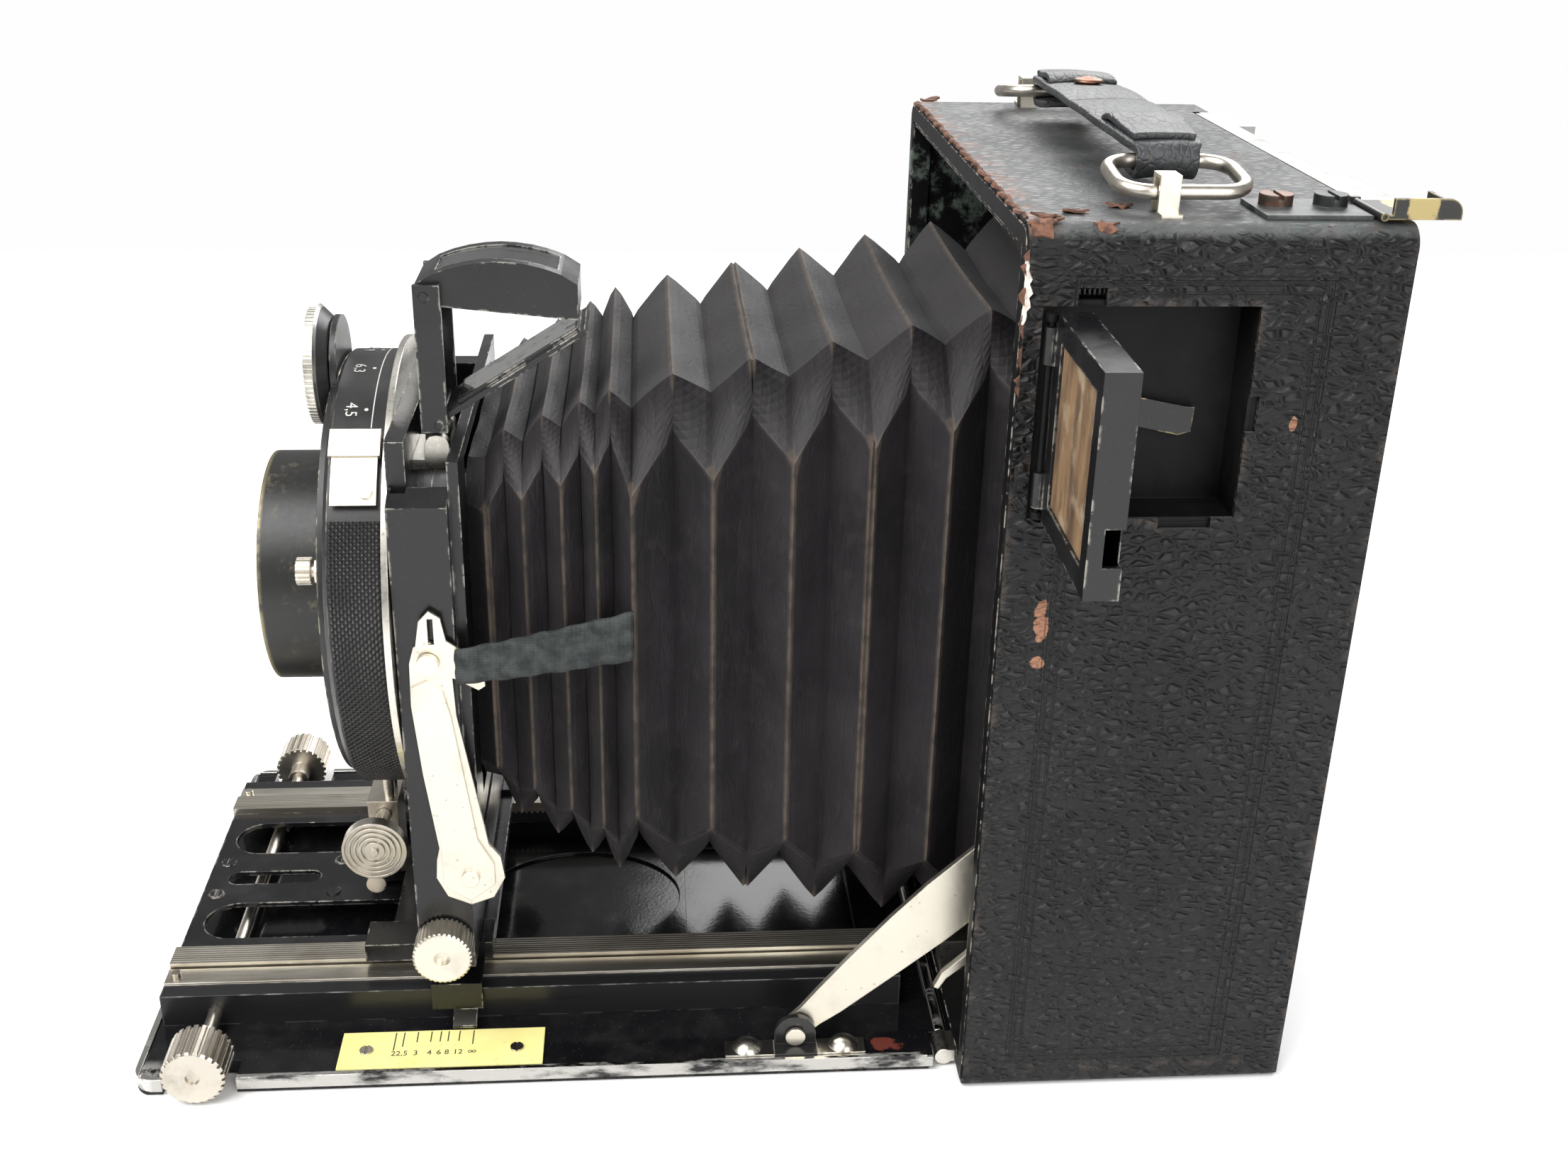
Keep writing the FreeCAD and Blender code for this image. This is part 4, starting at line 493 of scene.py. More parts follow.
def inside_mat():
    """Flat black interior with a verdigris bloom on the far wall."""
    m = M("inside_black")
    o = m.xyz()
    n = m.noise(70, 6, 0.65)
    c = m.mix(m.step(n, 0.35, 0.75), (0.0035, 0.0035, 0.004), (0.011, 0.011, 0.0105))
    far = m.math("MULTIPLY", m.step(o[0], -0.050, -0.056), m.step(o[2], 0.128, 0.146))
    c = m.mix(m.math("MULTIPLY", far, m.step(m.noise(150, 6, 0.7), 0.5, 0.62)), c, (0.11, 0.135, 0.115))
    e = m.math("MULTIPLY", m.step(m.math("MULTIPLY", m.edge(0.0005), 6.0), 0.3, 0.7), m.step(m.noise(420, 5), 0.46, 0.60))
    e = m.math("MULTIPLY", e, m.step(m.math("ABSOLUTE", o[1]), 0.0290, 0.0300))
    c = m.mix(e, c, (0.55, 0.50, 0.44))
    m.set("Base Color", c)
    m.set("Roughness", m.math("ADD", 0.42, m.math("MULTIPLY", n, 0.25)))
    m.set("Specular IOR Level", 0.16)
    m.set("Normal", m.bump(m.noise(900, 4), 0.12, 0.0003, m.soft_edge(0.0003)))
    return m.m


def guide_mat():
    """Black guide blocks with bright strips on top."""
    m = M("guide_enamel")
    o = m.xyz()
    n = m.noise(160, 6, 0.6, m.mapped((1, 0.12, 1)))
    strip = m.math("MULTIPLY", m.step(o[2], 0.00985, 0.00995), m.step(m.math("ABSOLUTE", o[0]), 0.03690, 0.03670))
    e = m.math("MULTIPLY", m.step(m.math("MULTIPLY", m.edge(0.0006), 5.0), 0.25, 0.7), m.step(m.noise(240, 5), 0.45, 0.6))
    e = m.math("MULTIPLY", e, 0.8)
    c = m.mix(e, (0.010, 0.010, 0.011), (0.34, 0.33, 0.30))
    sc = m.mix(m.step(n, 0.35, 0.72), (0.72, 0.69, 0.61), (0.34, 0.30, 0.24))
    m.set("Base Color", m.mix(strip, c, sc))
    m.set("Metallic", m.math("MAXIMUM", strip, e))
    m.set("Roughness", m.math("ADD", 0.20, m.math("MULTIPLY", m.noise(500, 4, 0.6, m.mapped((1, 0.05, 1))), 0.25)))
    m.set("Normal", m.bump(m.noise(900, 4, 0.6, m.mapped((1, 0.05, 1))), 0.08, 0.0002, m.soft_edge(0.0003)))
    return m.m


def bed_mat():
    m = M("bed_enamel")
    o = m.xyz()
    ax = m.math("ABSOLUTE", o[0])
    n = m.noise(130, 6, 0.62)
    # bright rim along the free edges
    top = m.step(o[2], 0.00330, 0.00345)
    out = m.math("MAXIMUM", m.step(ax, 0.05620, 0.05665), m.step(o[1], -0.18560, -0.18620))
    rim = m.math("MULTIPLY", m.math("MAXIMUM", top, m.math("MULTIPLY", out, 0.75)), m.step(m.noise(190, 5, 0.6, m.mapped((1, 0.35, 1))), 0.36, 0.50))
    corner = m.math("MULTIPLY", m.step(ax, 0.0500, 0.0545), m.step(o[1], -0.1795, -0.1840))
    rim = m.math("MAXIMUM", rim, m.math("MULTIPLY", corner, m.step(n, 0.46, 0.56)))
    # bare patches by the strut bracket
    dx = m.math("DIVIDE", m.math("SUBTRACT", ax, 0.0525), 0.0035)
    dy = m.math("DIVIDE", m.math("SUBTRACT", o[1], -0.0440), 0.0050)
    q = m.math("SUBTRACT", 1.0, m.math("ADD", m.math("MULTIPLY", dx, dx), m.math("MULTIPLY", dy, dy)), clamp=True)
    rust = m.step(m.math("MULTIPLY", q, m.noise(420, 5)), 0.30, 0.38)
    c = m.mix(m.step(n, 0.42, 0.80), (0.005, 0.005, 0.006), (0.016, 0.016, 0.015))
    c = m.mix(m.math("MULTIPLY", m.step(m.voro(900), 0.12, 0.05), 0.35), c, (0.14, 0.14, 0.13))
    c = m.mix(rust, c, (0.12, 0.03, 0.022))
    c = m.mix(rim, c, (0.70, 0.68, 0.64))
    m.set("Base Color", c)
    m.set("Metallic", rim)
    m.set("Roughness", m.math("ADD", 0.11, m.math("MULTIPLY", m.step(n, 0.4, 0.9), 0.06)))
    m.set("Specular IOR Level", 0.4)
    m.set("Normal", m.bump(m.noise(1300, 3), 0.06, 0.0002, m.soft_edge(0.0003)))
    return m.m


def fittings_mat():
    """Black brackets; rivet heads, screws and pins bright."""
    m = M("fittings_finish")
    o = m.xyz()
    n = m.noise(260, 5)
    dy = m.math("ABSOLUTE", m.math("SUBTRACT", o[1], -0.0620))
    dz = m.math("SUBTRACT", o[2], 0.0060)
    r2 = m.math("ADD", m.math("MULTIPLY", dy, dy), m.math("MULTIPLY", dz, dz))
    pin = m.step(r2, 0.0000030, 0.0000022)
    dome = m.step(dy, 0.0040, 0.0043)
    k = m.math("MAXIMUM", pin, dome)
    c = m.mix(k, m.mix(n, (0.006, 0.006, 0.007), (0.022, 0.021, 0.020)), m.mix(m.step(n, 0.45, 0.7), (0.72, 0.69, 0.62), (0.30, 0.26, 0.21)))
    m.set("Base Color", c)
    m.set("Metallic", k)
    m.set("Roughness", m.math("ADD", 0.18, m.math("MULTIPLY", n, 0.15)))
    m.set("Normal", m.bump(m.noise(1300, 3), 0.06, 0.0002, m.soft_edge(0.0002)))
    return m.m


def rail_mat():
    m = M("rail_nickel", Metallic=1.0)
    o = m.xyz()
    st = m.noise(420, 5, 0.65, m.mapped((1, 0.04, 1)))
    n = m.noise(60, 5)
    c = m.mix(m.step(st, 0.35, 0.75), (0.66, 0.62, 0.54), (0.34, 0.29, 0.22))
    c = m.mix(m.math("MULTIPLY", m.step(n, 0.5, 0.7), 0.4), c, (0.22, 0.17, 0.12))
    m.set("Base Color", c)
    groove = m.math("SINE", m.math("MULTIPLY", o[0], 9000.0))
    m.set("Roughness", m.math("ADD", 0.22, m.math("MULTIPLY", st, 0.2)))
    m.set("Normal", m.bump(m.math("ADD", st, m.math("MULTIPLY", groove, 0.6)), 0.35, 0.00025))
    return m.m


def mixed_black_nickel(name, axis_bright, lo, hi):
    """Latch plate: black sheet, copper-brown screw heads above it."""
    m = M(name)
    o = m.xyz()
    s = m.step(o[2], lo, hi)
    n = m.noise(420, 5)
    b = m.mix(m.step(n, 0.35, 0.7), (0.20, 0.10, 0.065), (0.075, 0.07, 0.062))
    f = m.math("MULTIPLY", m.step(o[1], 0.0155, 0.0150), 1.0)
    b2 = m.mix(f, (0.055, 0.062, 0.058), b)
    c = m.mix(s, m.mix(m.step(n, 0.4, 0.7), (0.03, 0.032, 0.033), (0.075, 0.08, 0.078)), b2)
    m.set("Base Color", c)
    m.set("Metallic", m.math("MULTIPLY", s, 0.8))
    m.set("Roughness", 0.42)
    m.set("Normal", m.bump(n, 0.2, 0.0002, m.soft_edge(0.0003)))
    return m.m


def latch_mat():
    m = M("latch_enamel")
    o = m.xyz()
    n = m.noise(330, 6, 0.65)
    dx = m.math("DIVIDE", m.math("SUBTRACT", o[1], 0.0310), 0.0040)
    q = m.math("SUBTRACT", 1.0, m.math("MULTIPLY", dx, dx), clamp=True)
    w = m.step(m.math("MULTIPLY", q, n), 0.28, 0.36)
    e = m.math("MULTIPLY", m.step(m.math("MULTIPLY", m.edge(0.0005), 6.0), 0.25, 0.6), m.step(n, 0.36, 0.5))
    k = m.math("MAXIMUM", w, m.math("MULTIPLY", e, 0.8))
    m.set("Base Color", m.mix(k, (0.014, 0.014, 0.013), (0.42, 0.34, 0.16)))
    m.set("Metallic", m.math("MULTIPLY", k, 0.8))
    m.set("Roughness", 0.33)
    m.set("Normal", m.bump(n, 0.12, 0.0002, m.soft_edge(0.0003)))
    return m.m


def housing_mat():
    m = M("shutter_enamel")
    o = m.xyz()
    n = m.noise(220, 5)
    e = m.math("MULTIPLY", m.step(m.math("MULTIPLY", m.edge(0.0005), 6.0), 0.25, 0.6), m.step(m.noise(300, 4), 0.44, 0.6))
    c = m.mix(e, m.mix(n, (0.009, 0.009, 0.010), (0.030, 0.029, 0.028)), (0.50, 0.46, 0.36))
    m.set("Base Color", c)
    m.set("Metallic", e)
    m.set("Roughness", m.math("ADD", 0.26, m.math("MULTIPLY", n, 0.14)))
    m.set("Normal", m.bump(m.noise(1600, 3), 0.08, 0.0002, m.soft_edge(0.0003)))
    return m.m


def dial_mat():
    m = M("dial_finish")
    o = m.xyz()
    back = m.step(o[1], -0.15005, -0.1499)
    n = m.noise(260, 5)
    r = m.math("SQRT", m.math("ADD", m.math("POWER", o[0], 2.0), m.math("POWER", m.math("SUBTRACT", o[2], 0.1244), 2.0)))
    rim = m.step(r, 0.01075, 0.0109)
    blk = m.mix(n, (0.012, 0.012, 0.013), (0.05, 0.05, 0.05))
    nk = m.mix(m.step(n, 0.5, 0.75), (0.70, 0.68, 0.62), (0.34, 0.31, 0.26))
    k = m.math("MAXIMUM", m.math("MULTIPLY", rim, 1.0), m.math("SUBTRACT", 1.0, back))
    m.set("Base Color", m.mix(k, blk, nk))
    m.set("Metallic", k)
    m.set("Roughness", m.math("ADD", 0.22, m.math("MULTIPLY", n, 0.15)))
    m.set("Normal", m.bump(m.noise(1200, 3), 0.08, 0.0002, m.soft_edge(0.0002)))
    return m.m


MAT = {
    "enamel": enamel("black_enamel"),
    "enamel_worn": enamel("black_enamel_worn", wear=0.7, worn=(0.60, 0.57, 0.50), radius=0.0008),
    "enamel_brass": enamel("black_enamel_brass", worn=(0.50, 0.40, 0.20)),
    "nickel": nickel("nickel_plate"),
    "nickel_cream": nickel("nickel_plate_warm", tint=(0.80, 0.75, 0.64), rough=0.30, dark=0.22),
    "nickel_knob": nickel("nickel_knob", tint=(0.66, 0.61, 0.53), rough=0.26, dark=0.5),
    "leather": leather_side(), "bellows": bellows_mat(), "cloth": cloth_mat(), "strap": strap_mat(), "copper": copper_mat(),
    "scale": scale_mat(), "ink": ink_mat(), "fill": fill_mat(), "tan": tan_mat(), "knurl": knurl_mat(), "drum": drum_mat(), "hood": hood_mat(),
    "glass": glass_mat("lens_glass"), "ground": glass_mat("ground_glass_etched", 0.45), "mirror": mirror_mat(), "inside": inside_mat(),
    "guide": guide_mat(), "fittings": fittings_mat(), "bed": bed_mat(), "rail": rail_mat(), "latch_plate": mixed_black_nickel("latch_plate_finish", None, 0.16595, 0.16605),
    "latch": latch_mat(), "housing": housing_mat(), "dial": dial_mat(),
    "brass": nickel("old_brass", tint=(0.62, 0.44, 0.20), rough=0.30, dark=0.55, tarn=(0.16, 0.09, 0.05)),
    "steel": nickel("dull_steel", tint=(0.30, 0.30, 0.29), rough=0.38, dark=0.6, tarn=(0.10, 0.10, 0.10)),
}
NODE_MAT = {
    "body_shell": "inside", "leather_covers": "leather", "leather_base_cover": "leather", "front_opening_trim": "inside",
    "rear_partition": "inside", "tripod_bushes": "brass", "hatch_liner": "inside", "hatch_springs": "enamel_brass", "bed_hinge": "nickel",
    "body_inner_rails": "nickel", "handle_lugs": "nickel_cream", "latch_plate": "latch_plate", "handle_ring_near": "nickel_knob",
    "handle_ring_far": "nickel_knob", "back_latch": "latch", "focusing_back_frame": "steel", "ground_glass": "ground",
    "hatch_door_tray": "enamel_worn", "hatch_door_panel": "tan", "bed_plate": "bed", "bed_leather": "leather", "bed_guides": "guide",
    "distance_scale": "scale", "bed_fittings": "fittings", "strut_near": "nickel_cream", "strut_far": "nickel_cream", "track_plate": "enamel_worn",
    "track_rails": "rail", "pinion_shaft": "nickel_knob", "focus_knobs": "nickel_knob", "standard_base": "enamel_worn", "grip_bracket": "nickel_knob",
    "distance_pointer": "enamel", "grip_near": "nickel_knob", "grip_far": "nickel_knob", "shift_frame": "enamel_worn", "side_braces": "nickel_cream",
    "shift_knob": "nickel_cream", "lens_board": "enamel", "shutter_flange": "nickel", "shutter_housing": "housing", "grip_band": "knurl",
    "aperture_index": "nickel_cream", "lens_hood": "hood", "lens_cells": "enamel", "lens_elements": "glass", "shutter_blades": "steel",
    "diaphragm_leaves": "steel", "speed_dial": "dial", "cocking_lever": "nickel_knob", "release_lever": "nickel", "finder_bracket": "nickel",
    "finder_front": "enamel_worn", "finder_glass": "glass", "finder_hood": "enamel_worn", "finder_mirror": "enamel_worn", "bed_release_lever": "nickel_cream",
    "handle_strap": "strap", "bellows": "bellows", "bellows_strap": "cloth",
}
for name, key in NODE_MAT.items():
    ob = bpy.data.objects.get(name)
    if ob is None:
        continue
    if not ob.material_slots:
        ob.data.materials.append(MAT[key])
    else:
        for s in ob.material_slots:
            s.material = MAT[key]


# ------------------------------------------------------------------ mesh helpers
def mesh_obj(name, verts, faces, mat, smooth=False, attr=None):
    me = bpy.data.meshes.new(name)
    me.from_pydata([tuple(v) for v in verts], [], faces)
    me.update()
    if attr:
        for k, vals in attr.items():
            a = me.attributes.new(k, "FLOAT", "POINT")
            a.data.foreach_set("value", vals)
    me.materials.append(mat)
    for p in me.polygons:
        p.use_smooth = smooth
    o = bpy.data.objects.new(name, me)
    bpy.context.scene.collection.objects.link(o)
    return o


def link_bm(name, bm, mat, smooth=False):
    me = bpy.data.meshes.new(name)
    bm.to_mesh(me)
    bm.free()
    me.materials.append(mat)
    for p in me.polygons:
        p.use_smooth = smooth
    o = bpy.data.objects.new(name, me)
    bpy.context.scene.collection.objects.link(o)
    return o


def apply_mods(o):
    dg = bpy.context.evaluated_depsgraph_get()
    me = bpy.data.meshes.new_from_object(o.evaluated_get(dg))
    o.modifiers.clear()
    o.data = me
    return o


# ------------------------------------------------------------------ bellows
mm = 0.001
ZC = 82.0
# stations along the bed: y, kind ("s" side ridge, "t" top ridge)
ST = [(-121.2, "e"), (-117.6, "s"), (-114.2, "t"), (-110.9, "s"), (-107.2, "t"), (-104.0, "s"), (-100.6, "t"), (-98.0, "s"), (-95.4, "t"),
      (-91.8, "s"), (-84.6, "t"), (-77.8, "s"), (-70.9, "t"), (-64.0, "s"), (-57.2, "t"), (-50.3, "s"), (-43.6, "t"), (-36.8, "s"), (-30.0, "t"),
      (-23.2, "s"), (-16.4, "t"), (-9.6, "s"), (-2.8, "t"), (4.0, "s"), (10.0, "t"), (15.4, "e")]


def lerp(a, b, f):
    return a + (b - a) * f


def halfsize(y):
    """Outer ridge half width and half height at a place along the bed."""
    if y < -92.0:
        f = max(0.0, min(1.0, (y + 121.0) / 29.0))
        return lerp(33.0, 42.5, f), lerp(35.5, 49.5, f)
    H = min(61.8 + 0.208 * (y + 31.0), 63.4)
    return 42.5, H


def section(y, kind):
    """Half outline sizes about the axis, in mm: ridge half width, half height, and where the straight side and top
    end.
    """
    W, Hh = halfsize(y)
    small = y < -93.0
    d = 4.6 if small else 6.4
    if kind == "e":
        w, h, sh, tl = W - d * 0.75, Hh - d * 0.75, Hh - 9.5, W - 9.0
    elif kind == "s":        # side ridge out, top valley
        w, h = W, Hh - d
        sh, tl = Hh - (11.5 if small else 17.5), W - (9.0 if small else 12.8)
    else:                     # top ridge out, side valley
        w, h = W - d, Hh
        sh, tl = Hh - (7.0 if small else 9.0), W - (6.5 if small else 8.2)
    return w, h, sh, tl


def bellows_segment(name, y0, y1):
    ys = [s for s in ST if y0 - 0.01 <= s[0] <= y1 + 0.01]
    rings, ridge = [], []
    sub = 5
    cols = None
    ns, nt, nc = 26, 18, 7          # columns up a side, along the top, round a corner
    for i in range(len(ys)):
        last = i == len(ys) - 1
        for k in range(1 if last else sub):
            f = k / sub
            ya, ka = ys[i]
            yb, kb = ys[i] if last else ys[i + 1]
            y = lerp(ya, yb, f)
            A, B = section(ya, ka), section(yb, kb)
            # cloth panels bow a little between their stiffened edges
            bow = math.sin(math.pi * f)
            w, h, sh, tl = [lerp(a, b, f) for a, b in zip(A, B)]
            ring, rr = [], []

            def put(x, z, rid):
                ring.append((x, z))
                rr.append(rid)

            q = 1.0 - min(1.0, min(f, 1 - f) * 5.0) if not last else 1.0
            near_a = f < 0.5
            kk = ka if near_a else kb
            fa = max(0.0, 1.0 - (f if near_a else 1 - f) * 6.0)
            side_out = fa if kk == "s" else (0.10 * fa)
            top_out = fa if kk == "t" else (0.10 * fa)
            edge = 0.35
            # right side going up, top, left side going down, bottom
            for sgn, part in ((1, "r"), (1, "t"), (-1, "l"), (-1, "b")):
                if part in "rl":
                    for j in range(ns):
                        g = j / ns
                        z = lerp(-sh, sh, g)
                        bulge = 0.55 * math.sin(math.pi * g) * bow * (0.6 + 0.4 * math.sin(11.3 * g + ya))
                        n = 0.22 * math.sin(7.0 * g * math.pi + 1.3 * ya) * bow
                        put(sgn * (w - bulge + n), sgn * z, side_out)
                    for j in range(nc):
                        g = j / nc
                        # corner: a straight fold from the side's end to the top's end
                        put(sgn * lerp(w, tl, g), sgn * lerp(sh, h, g), max(0.55 * (1 - abs(2 * g - 1)), side_out * (1 - g), top_out * g) if fa > 0 else (0.75 if (j == 0) else 0.0))
                else:
                    for j in range(nt):
                        g = j / nt
                        x = lerp(tl, -tl, g)
                        sag = 0.8 * math.sin(math.pi * g) * (1.0 if part == "t" else -0.6)
                        n = 0.25 * math.sin(5.0 * g * math.pi + ya) * bow
                        put(sgn * x, sgn * (h + n) - sag * (1.0), top_out)
                    for j in range(nc):
                        g = j / nc
                        put(-sgn * lerp(tl, w, g), sgn * lerp(h, sh, g), max(0.55 * (1 - abs(2 * g - 1)), top_out * (1 - g), side_out * g) if fa > 0 else (0.75 if (j == nc - 1) else 0.0))
            rings.append((y, ring))
            ridge.append(rr)
    V, A = [], []
    for (y, ring), rr in zip(rings, ridge):
        for (x, z), q in zip(ring, rr):
            V.append((x * mm, y * mm, (ZC + z) * mm))
            A.append(q)
    n = len(rings[0][1])
    F = []
    for i in range(len(rings) - 1):
        for j in range(n):
            a, b = i * n + j, i * n + (j + 1) % n
            F.append((a, b, b + n, a + n))
    o = mesh_obj(name, V, F, MAT["bellows"], False, {"ridge": A})
    s = o.modifiers.new("t", "SOLIDIFY")
    s.thickness = 0.0006
    s.offset = -1
    apply_mods(o)
    return o


segs = [("bellows_rear_folds", -50.3, 15.4, "camera_body", "bed_body"), ("bellows_middle_folds", -70.9, -50.3, "bed_body", "track_body"),
        ("bellows_front_folds", -117.6, -70.9, "track_body", "standard_body"), ("bellows_front_end", -121.2, -117.6, "standard_body", "frame_body")]
for nme, y0, y1, ba, bb in segs:
    o = bellows_segment(nme, y0, y1)
    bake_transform(o)
    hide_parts("bellows")

# ------------------------------------------------------------------ cloth strap on the bellows' side
nb, nw = 40, 8
V = []
for i in range(nb + 1):
    f = i / nb
    y = lerp(-123.4, -92.0, f)
    zc = lerp(82.4, 87.6, f)
    hw = lerp(3.3, 4.7, f)
    x = lerp(44.5, 43.4, f) + 0.5 * math.sin(f * math.pi)
    for j in range(nw + 1):
        g = j / nw
        V.append(((x + 0.15 * math.sin(g * 9 + f * 21)) * mm, (y + 0.10 * math.sin(g * 14)) * mm, (zc + (g * 2 - 1) * hw + 0.12 * math.sin(f * 40 + g)) * mm))
F = [(i * (nw + 1) + j, i * (nw + 1) + j + 1, (i + 1) * (nw + 1) + j + 1, (i + 1) * (nw + 1) + j) for i in range(nb) for j in range(nw)]
o = mesh_obj("side_strap_cloth", V, F, MAT["cloth"], True)
s = o.modifiers.new("t", "SOLIDIFY")
s.thickness = 0.0008
s.offset = 0
apply_mods(o)
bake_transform(o)
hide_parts("bellows_strap")

# ------------------------------------------------------------------ handle strap
TILT = R(8.0)
BX, BZ = 53.3 - 15.2 * math.cos(TILT), 168.3 + 15.2 * math.sin(TILT)


def ribbon(name, path, width, thick, mat, sgn, wob=0.0, yoff=-4.0):
    """Band that follows (x, z) points; width may vary along it."""
    n, w = len(path), 8
    V = []
    for i, (x, z) in enumerate(path):
        f = i / (n - 1)
        wd = width(f) if callable(width) else width
        for j in range(w + 1):
            g = j / w * 2 - 1
            crown = 0.35 * (1 - g * g)
            V.append((sgn * x * mm, (yoff + g * wd / 2 + wob * math.sin(f * 9 + 1)) * mm, (z + crown + 0.10 * math.sin(17 * f + 3 * g)) * mm))
    F = [(i * (w + 1) + j, i * (w + 1) + j + 1, (i + 1) * (w + 1) + j + 1, (i + 1) * (w + 1) + j) for i in range(n - 1) for j in range(w)]
    o = mesh_obj(name, V, F, mat, True)
    s = o.modifiers.new("t", "SOLIDIFY")
    s.thickness = thick * mm
    s.offset = 0
    b = o.modifiers.new("b", "BEVEL")
    b.width = 0.00035
    b.segments = 2
    b.limit_method = "ANGLE"
    ss = o.modifiers.new("s", "SUBSURF")
    ss.levels = ss.render_levels = 1
    apply_mods(o)
    for p in o.data.polygons:
        p.use_smooth = True
    return o


def loop_path():
    """From the middle of the top, out round the ring's bar and back under."""
    r = 1.2 + 0.35 + 0.75
    p = [(0.0, 173.6), (6, 173.9), (12, 173.9), (18, 173.6), (24, 173.4), (BX - 7.5, BZ + r + 0.5), (BX - 3.5, BZ + r + 0.1)]
    for k in range(13):
        t = R(90 - 15 * k)
        p.append((BX + r * math.cos(t), BZ + r * math.sin(t)))
    p += [(BX - 4.0, BZ - r + 0.15), (BX - 9.0, BZ - r + 0.9)]
    return p


for sgn, lab, rb in ((1, "near", "ring_near_body"), (-1, "far", "ring_far_body")):
    o = ribbon("handle_band_" + lab, loop_path(), lambda f: 15.0 - 4.6 * min(1, max(0, (f - 0.15) / 0.3)), 1.5, MAT["strap"], sgn)
    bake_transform(o)
    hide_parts("handle_strap")
    # second layer folded over the loop, with a turned-down end
    p2 = [(BX - 17.5, 174.3), (BX - 15, 175.3), (BX - 11, 175.2), (BX - 7.5, BZ + 4.0), (BX - 3.5, BZ + 3.7), (BX - 0.5, BZ + 3.6)]
    o = ribbon("handle_keeper_" + lab, p2, lambda f: 13.6 - 3.0 * f, 1.2, MAT["strap"], sgn, 0.2)
    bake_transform(o)
    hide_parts("handle_strap")
# rivets through the layers
for sgn, lab in ((-1, "far"),):
    bm = bmesh.new()
    bmesh.ops.create_uvsphere(bm, u_segments=32, v_segments=16, radius=2.9 * mm)
    for v in bm.verts:
        v.co.z *= 0.28
        if v.co.z < -0.0004:
            v.co.z = -0.0004
        r = Vector((v.co.x, v.co.y)).length
        v.co.z -= 0.00025 * max(0.0, 1 - abs(r / mm - 1.6) / 0.6)
    bmesh.ops.translate(bm, verts=bm.verts, vec=(-18.0 * mm, -3.6 * mm, 175.3 * mm))
    o = link_bm("handle_rivet_" + lab, bm, MAT["copper"], True)
    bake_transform(o)
    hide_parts("handle_strap")

# silvered pane on the finder's reflector
ma = math.atan2(137.0 - 121.4, 25.0)
mt = Matrix.Translation((0, -0.1252, 0.1224)) @ Matrix.Rotation(ma, 4, "X")
mv = [mt @ Vector((x * mm, y * mm, 1.53 * mm)) for x, y in ((15.1, 4.9), (26.9, 4.9), (26.9, 29.1), (15.1, 29.1))]
o = mesh_obj("finder_mirror_pane", [tuple(v) for v in mv], [(0, 1, 2, 3)], MAT["mirror"])
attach(o, "finder_body")

# ------------------------------------------------------------------ engraving
def text_mesh(name, s, size, mat, M4):
    c = bpy.data.curves.new(name, "FONT")
    c.body = s
    c.size = size
    c.align_x = "CENTER"
    c.align_y = "CENTER"
    c.extrude = 0.00002
    c.resolution_u = 3
    t = bpy.data.objects.new(name + "_tmp", c)
    bpy.context.scene.collection.objects.link(t)
    dg = bpy.context.evaluated_depsgraph_get()
    me = bpy.data.meshes.new_from_object(t.evaluated_get(dg))
    bpy.data.objects.remove(t)
    me.transform(M4)
    me.materials.clear()
    me.materials.append(mat)
    o = bpy.data.objects.new(name, me)
    bpy.context.scene.collection.objects.link(o)
    return o


def box_mesh(name, lo, hi, mat, bevel=0.0):
    bm = bmesh.new()
    bmesh.ops.create_cube(bm, size=1.0)
    for v in bm.verts:
        v.co = Vector([lerp(lo[i], hi[i], v.co[i] + 0.5) * mm for i in range(3)])
    if bevel:
        bmesh.ops.bevel(bm, geom=bm.edges[:], offset=bevel * mm, segments=2, affect="EDGES")
    return link_bm(name, bm, mat)


def join(name, obs):
    bm = bmesh.new()
    mats = []
    for o in obs:
        bm.from_mesh(o.data)
        mats = mats or [o.data.materials[0]]
    for o in obs:
        bpy.data.objects.remove(o)
    return link_bm(name, bm, mats[0])


ticks = [("2", -139.0, 6.4), ("2,5", -137.4, 5.4), ("3", -134.8, 4.2), ("4", -132.2, 4.2), ("6", -130.4, 4.2), ("8", -128.9, 4.2), ("12", -126.8, 4.2), ("∞", -124.1, 5.2)]
obs = []
for s, y, ln in ticks:
    obs.append(box_mesh("tick", (45.4, y - 0.11, 3.60), (45.4 + ln - 1.2, y + 0.11, 3.63), MAT["ink"]))
    M4 = Matrix.Translation((51.6 * mm, (y + 0.1) * mm, 3.62 * mm)) @ Matrix.Rotation(R(90), 4, "Z")
    obs.append(text_mesh("num", s, 0.0019, MAT["ink"], M4))
o = join("distance_figures", obs)
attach(o, "bed_body")

# figures and index line on the smooth arc of the drum
obs = []
RD = 42.36


def on_drum(a, y, roll=0.0):
    t = R(a)
    n = Vector((math.cos(t), 0, math.sin(t)))
    up = Vector((-math.sin(t), 0, math.cos(t)))       # along the rim, rising angle
    yv = Vector((0, 1, 0))
    m4 = Matrix((( -up.x, yv.x, n.x, RD * mm * n.x), (-up.y, yv.y, n.y, y * mm), (-up.z, yv.z, n.z, AX + RD * mm * n.z), (0, 0, 0, 1)))
    return m4 @ Matrix.Rotation(roll, 4, "Z")


